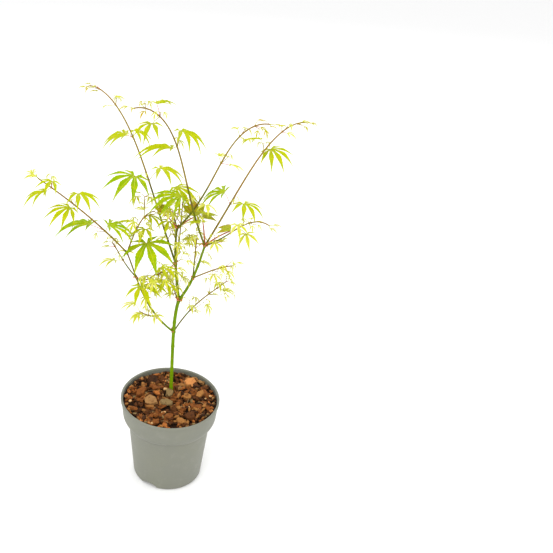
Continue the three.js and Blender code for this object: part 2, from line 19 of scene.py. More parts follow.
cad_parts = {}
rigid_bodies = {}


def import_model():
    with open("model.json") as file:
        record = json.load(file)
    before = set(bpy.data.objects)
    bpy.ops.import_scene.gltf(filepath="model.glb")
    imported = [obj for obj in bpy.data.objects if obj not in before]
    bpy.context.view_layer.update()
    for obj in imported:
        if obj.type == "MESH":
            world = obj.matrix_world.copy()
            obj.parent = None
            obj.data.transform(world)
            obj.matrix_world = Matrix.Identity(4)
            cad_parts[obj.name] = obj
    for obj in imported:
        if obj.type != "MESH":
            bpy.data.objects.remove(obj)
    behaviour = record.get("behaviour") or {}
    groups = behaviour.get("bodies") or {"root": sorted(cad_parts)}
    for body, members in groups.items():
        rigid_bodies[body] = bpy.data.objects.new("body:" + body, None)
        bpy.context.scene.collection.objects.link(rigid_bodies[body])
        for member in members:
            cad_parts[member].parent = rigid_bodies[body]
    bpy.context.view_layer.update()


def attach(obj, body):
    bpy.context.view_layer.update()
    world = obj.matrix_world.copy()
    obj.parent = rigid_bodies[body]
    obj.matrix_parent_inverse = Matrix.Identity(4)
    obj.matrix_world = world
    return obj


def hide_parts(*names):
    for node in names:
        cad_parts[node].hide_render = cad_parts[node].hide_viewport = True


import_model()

log = logging.getLogger("potted_maple")

Triple = tuple[float, float, float]
Rgb = Triple
Span = tuple[float, float]
Draw = Callable[[], float]
Radius = Callable[[float, float], float]
Body = bmesh.types.BMesh
Tree = bpy.types.NodeTree
Node = bpy.types.Node
Socket = bpy.types.NodeSocket
MM = 0.001
WELD = 1e-4


def cos_sin(degrees: float) -> Span:
    """Gives the cosine and the sine of an angle."""
    return math.cos(math.radians(degrees)), math.sin(math.radians(degrees))


# Shader groups and finishes


class Effect(Enum):
    """The surface effects that several materials share, each one node group."""

    MOTTLE = "mottle"
    FIBRE = "fibre"
    SPECKS = "specks"


class EffectShelf:
    """Builds each shared effect once and keeps it for all the materials."""

    settings = {
        Effect.MOTTLE: {"Detail": 5.0, "Roughness": 0.6},
        Effect.FIBRE: {"Detail": 4.0, "Distortion": 0.3},
        Effect.SPECKS: {},
    }
    fibre_stretch: Triple = (1.0, 1.0, 0.12)

    def __init__(self) -> None:
        """Starts with an empty shelf."""
        self._groups: dict[Effect, Tree] = {}

    def take(self, effect: Effect) -> Tree:
        """Gives the node group of an effect, built at its first use.

        Args:
            effect: Which effect is wanted.

        Returns:
            The node group.
        """
        if effect not in self._groups:
            self._groups[effect] = self._build(effect)
        return self._groups[effect]

    def _build(self, effect: Effect) -> Tree:
        """Makes a group that spreads a pattern between Low and High over 0 to 1 and puts it out as a mask.

        Args:
            effect: The effect: soft patches, long streaks along Z, or small round specks.

        Returns:
            The finished group.
        """
        group = bpy.data.node_groups.new(effect.value, "ShaderNodeTree")
        link = group.links.new
        group.interface.new_socket("Vector", in_out="INPUT", socket_type="NodeSocketVector")
        for name, value in (("Scale", 100.0), ("Low", 0.35), ("High", 0.65)):
            socket = group.interface.new_socket(name, in_out="INPUT", socket_type="NodeSocketFloat")
            socket.default_value = value
        group.interface.new_socket("Mask", in_out="OUTPUT", socket_type="NodeSocketFloat")
        given, result = group.nodes.new("NodeGroupInput"), group.nodes.new("NodeGroupOutput")
        where = given.outputs["Vector"]
        if effect is Effect.FIBRE:
            stretch = group.nodes.new("ShaderNodeMapping")
            stretch.inputs["Scale"].default_value = self.fibre_stretch
            link(where, stretch.inputs["Vector"])
            where = stretch.outputs["Vector"]
        specks = effect is Effect.SPECKS
        pattern = group.nodes.new("ShaderNodeTexVoronoi" if specks else "ShaderNodeTexNoise")
        for name, value in self.settings[effect].items():
            pattern.inputs[name].default_value = value
        link(where, pattern.inputs["Vector"])
        link(given.outputs["Scale"], pattern.inputs["Scale"])
        spread = group.nodes.new("ShaderNodeMapRange")
        spread.interpolation_type = "SMOOTHSTEP"
        link(pattern.outputs["Distance" if specks else "Fac"], spread.inputs["Value"])
        link(given.outputs["Low"], spread.inputs["From Min"])
        link(given.outputs["High"], spread.inputs["From Max"])
        spread.inputs["To Min"].default_value = float(specks)
        spread.inputs["To Max"].default_value = float(not specks)
        link(spread.outputs["Result"], result.inputs["Mask"])
        return group


SHELF = EffectShelf()


@dataclass(frozen=True)
class Layer:
    """One effect at one size: what it does to the colour and to the relief."""

    effect: Effect
    size: float
    tone: Rgb
    low: float = 0.35
    high: float = 0.65
    relief: float = 0.0


@dataclass(frozen=True)
class Finish:
    """A finish: a base colour, layers of tone and relief over it, and the gloss."""

    name: str
    base: Rgb
    roughness: float = 0.5
    layers: tuple[Layer, ...] = ()
    specular: float = 0.4
    tip_tone: Rgb | None = None

    def material(self) -> bpy.types.Material:
        """Gives the finish as a material, made at its first use.

        Returns:
            The material.
        """
        known = bpy.data.materials.get(self.name)
        if known:
            return known
        material = bpy.data.materials.new(self.name)
        material.use_nodes = True
        tree = material.node_tree
        shader = tree.nodes["Principled BSDF"]
        shader.inputs["Base Color"].default_value = (*self.base, 1.0)
        shader.inputs["Roughness"].default_value = self.roughness
        shader.inputs["Specular IOR Level"].default_value = self.specular
        place = tree.nodes.new("ShaderNodeTexCoord")
        colour: Socket | None = None
        bump: Node | None = None
        if self.tip_tone:
            split = tree.nodes.new("ShaderNodeSeparateXYZ")
            tree.links.new(place.outputs["UV"], split.inputs["Vector"])
            colour = self._tone(tree, None, self.tip_tone, split.outputs["X"])
        for layer in self.layers:
            mask = self._mask(tree, place, layer)
            colour = self._tone(tree, colour, layer.tone, mask)
            if layer.relief:
                bump = self._relief(tree, bump, layer.relief, mask)
        if colour:
            tree.links.new(colour, shader.inputs["Base Color"])
        if bump:
            tree.links.new(bump.outputs["Normal"], shader.inputs["Normal"])
        return material

    @staticmethod
    def _mask(tree: Tree, place: Node, layer: Layer) -> Socket:
        """Places a layer's effect in the material.

        Args:
            tree: The material's nodes.
            place: The texture coordinate node.
            layer: The layer.

        Returns:
            The mask of the layer's effect.
        """
        effect = tree.nodes.new("ShaderNodeGroup")
        effect.node_tree = SHELF.take(layer.effect)
        effect.inputs["Scale"].default_value = 1.0 / (layer.size * MM)
        effect.inputs["Low"].default_value = layer.low
        effect.inputs["High"].default_value = layer.high
        tree.links.new(place.outputs["Object"], effect.inputs["Vector"])
        return effect.outputs["Mask"]

    def _tone(self, tree: Tree, colour: Socket | None, tone: Rgb, mask: Socket) -> Socket:
        """Lays a tone over the colour.

        Args:
            tree: The material's nodes.
            colour: The colour so far, or None for the base.
            tone: The tone.
            mask: Where the tone shows.

        Returns:
            The new colour.
        """
        mix = tree.nodes.new("ShaderNodeMix")
        mix.data_type = "RGBA"
        mix.inputs["A"].default_value = (*self.base, 1.0)
        mix.inputs["B"].default_value = (*tone, 1.0)
        if colour:
            tree.links.new(colour, mix.inputs["A"])
        tree.links.new(mask, mix.inputs["Factor"])
        return mix.outputs["Result"]

    @staticmethod
    def _relief(tree: Tree, before: Node | None, height: float, mask: Socket) -> Node:
        """Raises the surface where a mask shows.

        Args:
            tree: The material's nodes.
            before: The bump node under this one, if there is one.
            height: How high it is raised, or how deep it is cut where it is below 0.
            mask: Where it is raised.

        Returns:
            The new bump node.
        """
        bump = tree.nodes.new("ShaderNodeBump")
        bump.inputs["Distance"].default_value = abs(height) * MM
        bump.invert = height < 0
        tree.links.new(mask, bump.inputs["Height"])
        if before:
            tree.links.new(before.outputs["Normal"], bump.inputs["Normal"])
        return bump


# Camera and studio


@dataclass(frozen=True)
class SoftLight:
    """A soft square light: its place and its side in metres, and its power in watts."""

    name: str
    place: Triple
    size: float
    power: float

    def hang(self, aim: Vector) -> None:
        """Hangs the light so that it looks at a point.

        Args:
            aim: The point, in metres.
        """
        data = bpy.data.lights.new(self.name, "AREA")
        data.shape = "SQUARE"
        data.size = self.size
        data.energy = self.power
        lamp = bpy.data.objects.new(self.name, data)
        lamp.location = self.place
        lamp.rotation_euler = (aim - Vector(self.place)).to_track_quat("-Z", "Y").to_euler()
        bpy.context.collection.objects.link(lamp)


@dataclass(frozen=True)
class Studio:
    """The pale floor, the soft lights and the camera that stands where the photograph was taken from."""

    eye_distance: float = 650.0
    eye_height: float = 607.9
    pitch: float = 29.2
    roll: float = 2.56
    focal_px: float = 768.1
    centre_px: float = 175.53
    image_px: float = 553.0
    sensor_width: float = 36.0
    view_range: Span = (0.01, 50.0)
    floor_size: float = 12000.0
    floor_finish: Finish = Finish("pale_floor", (0.93, 0.93, 0.93), roughness=0.9, specular=0.1)
    aim: Triple = (0.0, 0.0, 0.2)
    lights: tuple[SoftLight, ...] = (
        SoftLight("key_light", (-0.9, -1.3, 1.9), 1.6, 26.0),
        SoftLight("fill_light", (1.5, -0.9, 1.2), 1.6, 9.0),
        SoftLight("back_light", (0.3, 1.5, 1.5), 1.4, 12.0),
    )

    def camera(self) -> None:
        """Makes the scene's camera."""
        data = bpy.data.cameras.new("camera")
        data.sensor_width = self.sensor_width
        data.lens = self.focal_px / self.image_px * data.sensor_width
        data.shift_x = (self.image_px / 2 - self.centre_px) / self.image_px
        data.clip_start, data.clip_end = self.view_range
        (level, dip), (even, lean) = cos_sin(self.pitch), cos_sin(self.roll)
        forward, upright = Vector((0.0, level, -dip)), Vector((0.0, dip, level))
        aside = Vector((1.0, 0.0, 0.0))
        right, up = aside * even + upright * lean, upright * even - aside * lean
        turn = Matrix((right, up, -forward)).transposed().to_4x4()
        eye = Vector((0.0, -self.eye_distance, self.eye_height)) * MM
        camera = bpy.data.objects.new("camera", data)
        camera.matrix_world = Matrix.Translation(eye) @ turn
        bpy.context.collection.objects.link(camera)
        bpy.context.scene.camera = camera

    def floor(self) -> None:
        """Lays the pale floor under the pot."""
        bm = bmesh.new()
        bmesh.ops.create_grid(bm, x_segments=4, y_segments=4, size=self.floor_size * MM / 2)
        mesh = bpy.data.meshes.new("floor")
        bm.to_mesh(mesh)
        bm.free()
        floor = bpy.data.objects.new("floor", mesh)
        mesh.materials.append(self.floor_finish.material())
        bpy.context.collection.objects.link(floor)

    def build(self) -> None:
        """Sets up the camera, the floor, the lights and the plain sky."""
        self.camera()
        self.floor()
        for light in self.lights:
            light.hang(Vector(self.aim))
        world = bpy.data.worlds.new("plain_sky")
        world.use_nodes = True
        world.node_tree.nodes["Background"].inputs["Color"].default_value = (1.0, 1.0, 1.0, 1.0)
        world.node_tree.nodes["Background"].inputs["Strength"].default_value = 1.0
        bpy.context.scene.world = world
        bpy.context.scene.view_settings.view_transform = "Standard"


# Modelling helpers

STREAM_FACTOR = 1664525
STREAM_STEP = 1013904223
STREAM_SIZE = 4294967296


def random_stream(seed: int) -> Draw:
    """Makes the seeded stream of numbers from 0 to 1 that the plant grows by.

    Args:
        seed: The stream's first state.

    Returns:
        A function that gives the next number at each call.
    """
    state = seed

    def draw() -> float:
        """Gives the next number.

        Returns:
            The number.
        """
        nonlocal state
        state = (state * STREAM_FACTOR + STREAM_STEP) % STREAM_SIZE
        return state / STREAM_SIZE

    return draw


def within(span: Span, draw: Draw) -> float:
    """Draws a number between the two ends of a span."""
    return lerp(*span, draw())


def jogged(amount: float, draw: Draw) -> float:
    """Draws a factor either side of 1, by up to half of an amount."""
    return 1.0 + (draw() - 0.5) * amount


def lerp(low: float, high: float, share: float) -> float:
    """Gives the value a share of the way from low to high."""
    return low + (high - low) * share


def wrap_turn(degrees: float) -> float:
    """Brings a turn into the half turn either side of 0."""
    return (degrees + 180.0) % 360.0 - 180.0


def smoothstep(share: float) -> float:
    """Eases a share from 0 to 1 in and out."""
    share = min(1.0, max(0.0, share))
    return share * share * (3.0 - 2.0 * share)


def grid_patch(bm: Body, along: int, across: int) -> list[tuple[bmesh.types.BMVert, float, float]]:
    """Creates a flat grid to be shaped.

    Args:
        bm: The mesh that it goes into.
        along: Its faces along the first way.
        across: Its faces along the second way.

    Returns:
        Each vertex with its two shares, from 0 to 1.
    """
    made = bmesh.ops.create_grid(bm, x_segments=along, y_segments=across, size=0.5, calc_uvs=True)
    return [(vert, vert.co.x + 0.5, vert.co.y + 0.5) for vert in made["verts"]]


def settle(
    bm: Body, name: str, finish: Finish, stands_for: Sequence[str] = (), crease: float = 80.0
) -> None:
    """Turns a mesh in millimetres into a piece of the plant and reports it.

    Args:
        bm: The mesh, which is freed.
        name: The piece's name.
        finish: Its finish.
        stands_for: The CAD nodes that it stands for.
        crease: The angle past which an edge stays sharp.
    """
    bmesh.ops.scale(bm, vec=(MM, MM, MM), verts=bm.verts)
    mesh = bpy.data.meshes.new(name)
    bm.to_mesh(mesh)
    bm.free()
    mesh.shade_smooth()
    mesh.set_sharp_from_angle(angle=math.radians(crease))
    mesh.materials.append(finish.material())
    piece = bpy.data.objects.new(name, mesh)
    bpy.context.collection.objects.link(piece)
    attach(piece, "root")
    if stands_for:
        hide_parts(*stands_for)
    log.info("%s: %d triangles", name, sum(len(face.vertices) - 2 for face in mesh.polygons))


# The limbs and leaves, grown by the same rule as the solids

ARC_STEPS = 60


@dataclass
class LimbCurve:
    """A limb's middle line: an arc in the upright plane of its heading, nodding towards the tip."""

    start: np.ndarray
    heading: float
    rise: float
    length: float
    bend: float = 0.0
    nod: float = 0.0
    points: np.ndarray = field(init=False)

    def __post_init__(self) -> None:
        """Walks the arc in short steps."""
        middles = (np.arange(ARC_STEPS) + 0.5) / ARC_STEPS
        steps = np.array([self.direction(t) for t in middles]) * (self.length / ARC_STEPS)
        self.points = self.start + np.vstack([np.zeros(3), np.cumsum(steps, axis=0)])

    def direction(self, t: float) -> np.ndarray:
        """Gives the way along the limb.

        Args:
            t: The place on the limb, from 0 to 1.

        Returns:
            The way, of length 1.
        """
        east, north = cos_sin(self.heading)
        level, up = cos_sin(self.rise + self.bend * t + self.nod * t**4)
        return np.array([level * east, level * north, up])

    def side(self) -> np.ndarray:
        """Gives the level way to the limb's left."""
        east, north = cos_sin(self.heading)
        return np.array([-north, east, 0.0])

    def over(self, t: float) -> np.ndarray:
        """Gives the way square to the limb and over it."""
        return np.cross(self.direction(t), self.side())

    def out(self, t: float, turn: float) -> np.ndarray:
        """Gives the way straight out of the limb at a turn round it, from its left-hand side over the top."""
        cosine, sine = cos_sin(turn)
        return self.side() * cosine + self.over(t) * sine

    def point(self, t: float) -> np.ndarray:
        """Gives a point of the middle line.

        Args:
            t: The place on the limb, from 0 to 1.

        Returns:
            The point.
        """
        place = min(1.0, max(0.0, t)) * ARC_STEPS
        index = min(int(place), ARC_STEPS - 1)
        return self.points[index] + (self.points[index + 1] - self.points[index]) * (place - index)

    def shoot(self, t: float, angle: float, turn: float, length: float, bend: float) -> "LimbCurve":
        """Grows a shoot out of the limb.

        Args:
            t: Its place on the limb.
            angle: Its angle to the limb.
            turn: Its turn round the limb.
            length: Its length.
            bend: How far its rise changes over its length.

        Returns:
            The shoot's middle line.
        """
        cosine, sine = cos_sin(angle)
        aim = self.direction(t) * cosine + self.out(t, turn) * sine
        heading = math.degrees(math.atan2(aim[1], aim[0]))
        rise = math.degrees(math.asin(max(-1.0, min(1.0, aim[2]))))
        return LimbCurve(self.point(t), heading, rise, length, bend)


@dataclass(frozen=True)
class LimbPlan:
    """The named sizes of a limb, whose girth is its diameters at the two ends."""

    heading: float
    rise: float
    bend: float
    nod: float
    length: float
    girth: Span
    parent: str = ""
    at: float = 0.0


@dataclass(frozen=True)
class SprayPlan(LimbPlan):
    """A spray's stem with the nodes, leaf lengths, stalk turns and blade headings of its leaves."""

    nodes: tuple[float, ...] = ()
    blades: tuple[float, ...] = ()
    turns: tuple[float, ...] = ()
    faces: tuple[float, ...] = ()
    opposite: tuple[float, ...] = ()
    seed: int = 0
    bushy: bool = False


GROUND = np.array([0.5, 14.0, 94.0])
WOOD = {
    "trunk": LimbPlan(heading=-48, rise=90, bend=2, nod=-19, length=119, girth=(4.3, 3.5)),
    "left_bough": LimbPlan(
        parent="trunk", at=0.65, heading=200, rise=44, bend=46, nod=-21, length=112, girth=(2.1, 1.4)
    ),
    "leader": LimbPlan(
        parent="trunk", at=1, heading=129, rise=75, bend=14, nod=10, length=77, girth=(2.8, 1.8)
    ),
    "right_bough": LimbPlan(
        parent="trunk", at=1, heading=-23, rise=59, bend=26, nod=-9, length=71, girth=(2.6, 1.9)
    ),
}
SPRAYS = {
    "far_left_spray": SprayPlan(
        parent="left_bough", at=1, heading=202, rise=52, bend=-12, nod=1,
        length=117, girth=(1.4, 0.9), nodes=(0.28, 0.63, 0.87, 1),
        blades=(38, 26, 22, 13), turns=(-160, 100, -25, 25), faces=(165, -60, -145, 160),
        opposite=(20, -130, -105, 100),
        seed=1,
    ),
    "left_inner_spray": SprayPlan(
        parent="left_bough", at=1, heading=40, rise=68, bend=-12, nod=-74,
        length=51, girth=(1.2, 0.9), nodes=(0.12, 0.45, 0.75, 1),
        blades=(38, 23, 19, 13), turns=(-110, -145, -60, 55), faces=(-70, -105, -40, 20),
        opposite=(10, 150, 120, 80),
        seed=2, bushy=True,
    ),
    "left_low_spray": SprayPlan(
        parent="left_bough", at=0.74, heading=150, rise=33, bend=37, nod=-28,
        length=41, girth=(1.1, 0.9), nodes=(0.5, 0.87, 1),
        blades=(18, 10, 8), turns=(-45, -15, 140), faces=(200, 180, 150),
        seed=3,
    ),
    "left_under_spray": SprayPlan(
        parent="left_bough", at=0.73, heading=-40, rise=-6, bend=104, nod=-95,
        length=35, girth=(1.1, 0.9), nodes=(0.2, 0.5, 0.9, 1),
        blades=(26, 15, 22, 10), turns=(165, 90, -75, 130), faces=(-70, -100, -70, 10),
        seed=4, bushy=True,
    ),
    "left_bottom_spray": SprayPlan(
        parent="left_bough", at=0.25, heading=215, rise=21, bend=20, nod=6,
        length=26, girth=(1.1, 0.9), nodes=(0.15, 0.42, 1),
        blades=(14, 15, 15), turns=(70, 10, 140), faces=(-50, -100, -160),
        seed=5,
    ),
    "fork_spray": SprayPlan(
        parent="trunk", at=0.99, heading=195, rise=62, bend=30, nod=-20,
        length=26, girth=(1.1, 0.9), nodes=(0.35, 0.7, 1),
        blades=(13, 14, 9), turns=(20, -50, 160), faces=(180, -80, 60),
        seed=6, bushy=True,
    ),
    "top_left_spray": SprayPlan(
        parent="leader", at=0.5, heading=136, rise=60, bend=8, nod=-78,
        length=207, girth=(1.7, 0.9), nodes=(0.12, 0.41, 0.62, 0.8, 0.93, 1),
        blades=(14, 36, 28, 13, 9, 8), turns=(70, -65, -105, 95, -75, 0),
        faces=(190, -130, 170, 50, 155, 200), opposite=(0, -30, -40, 155, 200, 150),
        seed=27,
    ),
    "leader_twig_spray": SprayPlan(
        parent="leader", at=0.49, heading=-35, rise=82, bend=11, nod=-9,
        length=73, girth=(1.2, 0.9), nodes=(0.3, 0.62, 1),
        blades=(17, 13, 32), turns=(160, 40, -140), faces=(-120, 0, -140), opposite=(60, 180, -70),
        seed=8, bushy=True,
    ),
    "top_right_spray": SprayPlan(
        parent="leader", at=1, heading=-42, rise=49, bend=41, nod=-84,
        length=164, girth=(1.6, 0.9), nodes=(0.25, 0.57, 0.78, 0.9, 1),
        blades=(18, 15, 13, 9, 8), turns=(-40, -75, -85, 110, 0), faces=(-70, -10, 55, 0, -10),
        opposite=(150, 60, 110, -40, 30),
        seed=9,
    ),
    "leader_tip_spray": SprayPlan(
        parent="leader", at=1, heading=170, rise=78, bend=-20, nod=0,
        length=22, girth=(1.2, 0.9), nodes=(0.3, 0.65, 1),
        blades=(19, 16, 12), turns=(-20, 60, -110), faces=(-90, 180, 100),
        seed=10, bushy=True,
    ),
    "top_middle_spray": SprayPlan(
        parent="right_bough", at=1, heading=222, rise=64, bend=26, nod=-91,
        length=181, girth=(1.6, 0.9), nodes=(0.17, 0.63, 0.83, 0.93, 1),
        blades=(23, 32, 23, 9, 8), turns=(-20, -35, -70, -30, 150), faces=(120, -170, -110, -110, -150),
        opposite=(60, -45, 70, 60, -90),
        seed=21,
    ),
    "far_right_spray": SprayPlan(
        parent="right_bough", at=1, heading=36, rise=53, bend=8, nod=-79,
        length=163, girth=(1.6, 0.9), nodes=(0.28, 0.64, 0.8, 0.92, 1),
        blades=(30, 28, 13, 9, 8), turns=(80, -55, 70, 140, 0), faces=(155, -60, 100, 0, 0),
        opposite=(-65, 130, -35, 60, -40),
        seed=12,
    ),
    "right_spray": SprayPlan(
        parent="right_bough", at=1, heading=-30, rise=33, bend=32, nod=-88,
        length=77, girth=(1.2, 0.9), nodes=(0.15, 0.57, 0.75, 1),
        blades=(17, 18, 10, 8), turns=(35, -105, 135, 180), faces=(100, -80, 90, -30),
        seed=13,
    ),
    "right_low_spray": SprayPlan(
        parent="right_bough", at=0.45, heading=-55, rise=38, bend=-2, nod=-10,
        length=72, girth=(1.2, 0.9), nodes=(0.53, 0.82, 1),
        blades=(13, 11, 8), turns=(-135, -95, 45), faces=(-70, -40, 10),
        seed=14,
    ),
    "middle_spray": SprayPlan(
        parent="right_bough", at=0.45, heading=80, rise=74, bend=1, nod=-6,
        length=43, girth=(1.2, 0.9), nodes=(0.3, 0.7, 1),
        blades=(17, 14, 11), turns=(-50, -180, -60), faces=(-80, 100, 60),
        seed=15, bushy=True,
    ),
    "right_bottom_spray": SprayPlan(
        parent="trunk", at=0.65, heading=44, rise=48, bend=-60, nod=29,
        length=84, girth=(1.3, 0.9), nodes=(0.33, 0.67, 0.82, 1),
        blades=(13, 9, 16, 9), turns=(85, 120, 15, -150), faces=(-85, 45, -75, -10),
        seed=16, bushy=True,
    ),
}
LIMBS = WOOD | SPRAYS


@dataclass(frozen=True)
class BudRule:
    """How young shoots leave a node: their turns from its leaf, their lengths and their leaves' lengths."""

    sides: tuple[float, ...]
    length: Span
    blade: Span


@dataclass(frozen=True)
class GrowthRule:
    """The seeded rule by which leaves, side twigs and young shoots leave a stem."""

    stalk_angle: float = 50.0
    stalk_sag: float = -20.0
    stalk_share: Span = (0.4, 0.6)
    partner_share: Span = (0.8, 1.0)
    partner_turn: Span = (-20.0, 20.0)
    partner_lift: float = 0.35
    follow: float = 0.4
    drift: Span = (-12.0, 12.0)
    pitch: Span = (-16.0, 6.0)
    roll: Span = (-14.0, 14.0)
    side_twig_chance: float = 0.5
    side_twig_angle: float = 42.0
    side_twig_sag: float = 14.0
    side_twig_share: Span = (1.0, 1.5)
    side_twig_leaves: tuple[Span, ...] = ((0.6, 0.0), (1.0, 90.0), (1.0, 270.0))
    side_twig_leaf: float = 0.6
    side_twig_smallest_leaf: float = 12.0
    side_twig_girth: Span = (0.8, 0.8)
    swings: tuple[float, ...] = (0, 16, -16, 32, -32, 48, -48, 64, -64)
    open: Span = (1.0, 0.6)
    droop: Span = (56.0, 36.0)
    stalk_marks: Span = (0.6, 1.0)
    marks: tuple[float, ...] = (0.3, 0.55, 0.8, 1.0)
    clear_of_wood: Span = (1.3, 0.04)
    clear_of_leaf: Span = (1.3, 0.055)
    buds: BudRule = BudRule(sides=(90.0,), length=(5.0, 11.0), blade=(5.0, 8.5))
    bushy_buds: BudRule = BudRule(sides=(90.0, 270.0), length=(8.0, 20.0), blade=(9.0, 15.0))
    bud_seed: int = 100
    bud_turn: Span = (-30.0, 30.0)
    bud_hang: float = 42.0
    bud_clear: float = 0.5
    bud_girth: Span = (0.6, 0.45)


RULE = GrowthRule()


@dataclass(frozen=True)
class BladeKind:
    """A palmate blade: each lobe's turn from the middle one and its share of the blade's length."""

    name: str
    smallest: float
    lobes: tuple[Span, ...]


BLADE_KINDS = (
    BladeKind("seven_lobed", 24.0, ((0, 1.0), (36, 0.94), (74, 0.76), (116, 0.42))),
    BladeKind("five_lobed", 12.0, ((0, 1.0), (42, 0.86), (94, 0.5))),
    BladeKind("three_lobed", 0.0, ((0, 1.0), (50, 0.7))),
)
BROAD_KIND = BladeKind("broad_three_lobed", 0.0, ((0, 1.0), (46, 0.86)))


@dataclass(frozen=True)
class BroadLeaf:
    """A broad bronze or olive leaf on a long coral stalk, which leaves a bough's tip."""

    bough: str
    heading: float
    rise: float
    stalk: float
    blade: float
    face: float
    pitch: float
    roll: float = 0.0
    youth: float = 0.6


BROAD_LEAVES = (
    BroadLeaf("right_bough", heading=-15, rise=50, stalk=31, blade=15, face=150, pitch=8, roll=-14),
    BroadLeaf("right_bough", heading=111, rise=78, stalk=26, blade=16, face=20, pitch=18, roll=2),
    BroadLeaf("leader", heading=21, rise=40, stalk=20, blade=20, face=95, pitch=45),
    BroadLeaf("leader", heading=-147, rise=60, stalk=24, blade=13, face=120, pitch=50),
)


class Role(Enum):
    """What a leaf is: one of the rule's own, one of a young shoot, or a broad one."""

    OWN = "own"
    BUD = "bud"
    BROAD = "broad"


@dataclass
class Leaf:
    """A leaf: its stalk, and its blade set at the stalk's tip by a turn."""

    spray: str
    role: Role
    twig: LimbCurve
    stalk: LimbCurve
    blade: float
    turn: np.ndarray
    youth: float
    marks: np.ndarray = field(init=False)

    def __post_init__(self) -> None:
        """Sets the marks along the lobes and the stalk, by which leaves are kept apart."""
        flat = []
        for turn, share in self.kind.lobes:
            cosine, sine = cos_sin(turn * lerp(*RULE.open, self.youth))
            for part in RULE.marks:
                reach = self.blade * share * part
                flat += [(reach * cosine, reach * sine * side, 0.0) for side in ((1, -1) if turn else (1,))]
        stalk = [self.stalk.point(at) for at in RULE.stalk_marks]
        self.marks = np.vstack([stalk, self.bend(np.array(flat))])

    @property
    def kind(self) -> BladeKind:
        """Gives the kind of blade that the leaf has by its length."""
        if self.role is Role.BROAD:
            return BROAD_KIND
        return next(kind for kind in BLADE_KINDS if self.blade >= kind.smallest)

    def bend(self, flat: np.ndarray, arch: float = 0.0) -> np.ndarray:
        """Bends points of the flat blade down over its droop and sets them at the stalk's tip.

        Args:
            flat: The points, one a row: along the middle lobe, across it and up from the blade.
            arch: How steeply the lobes rise from the stalk before they droop.

        Returns:
            The points in the row's frame.
        """
        reach = np.hypot(flat[:, 0], flat[:, 1])
        rise = math.radians(arch)
        curl = (math.radians(lerp(*RULE.droop, self.youth)) + rise) / self.blade
        angle = reach * curl - rise
        out = (np.sin(angle) + math.sin(rise)) / curl + flat[:, 2] * np.sin(angle)
        up = (np.cos(angle) - math.cos(rise)) / curl + flat[:, 2] * np.cos(angle)
        share = np.where(reach > 0, out / np.where(reach > 0, reach, 1.0), 1.0)
        local = np.column_stack([flat[:, 0] * share, flat[:, 1] * share, up])
        return local @ self.turn.T + self.stalk.point(1.0)


def turned(heading: float, pitch: float, roll: float) -> np.ndarray:
    """Makes the turn of a blade.

    Args:
        heading: Where its middle lobe points, from +X towards +Y.
        pitch: How far it is tipped up.
        roll: How far it is rolled about its middle lobe.

    Returns:
        The turn as a 3 by 3 matrix.
    """
    turn = np.eye(3)
    for angle, first, second in ((heading, 0, 1), (-pitch, 2, 0), (roll, 1, 2)):
        step = np.eye(3)
        cosine, sine = cos_sin(angle)
        step[first, first] = step[second, second] = cosine
        step[second, first], step[first, second] = sine, -sine
        turn = turn @ step
    return turn


@dataclass
class Twig:
    """A stem or twig with its diameters at the two ends."""

    curve: LimbCurve
    girth: Span


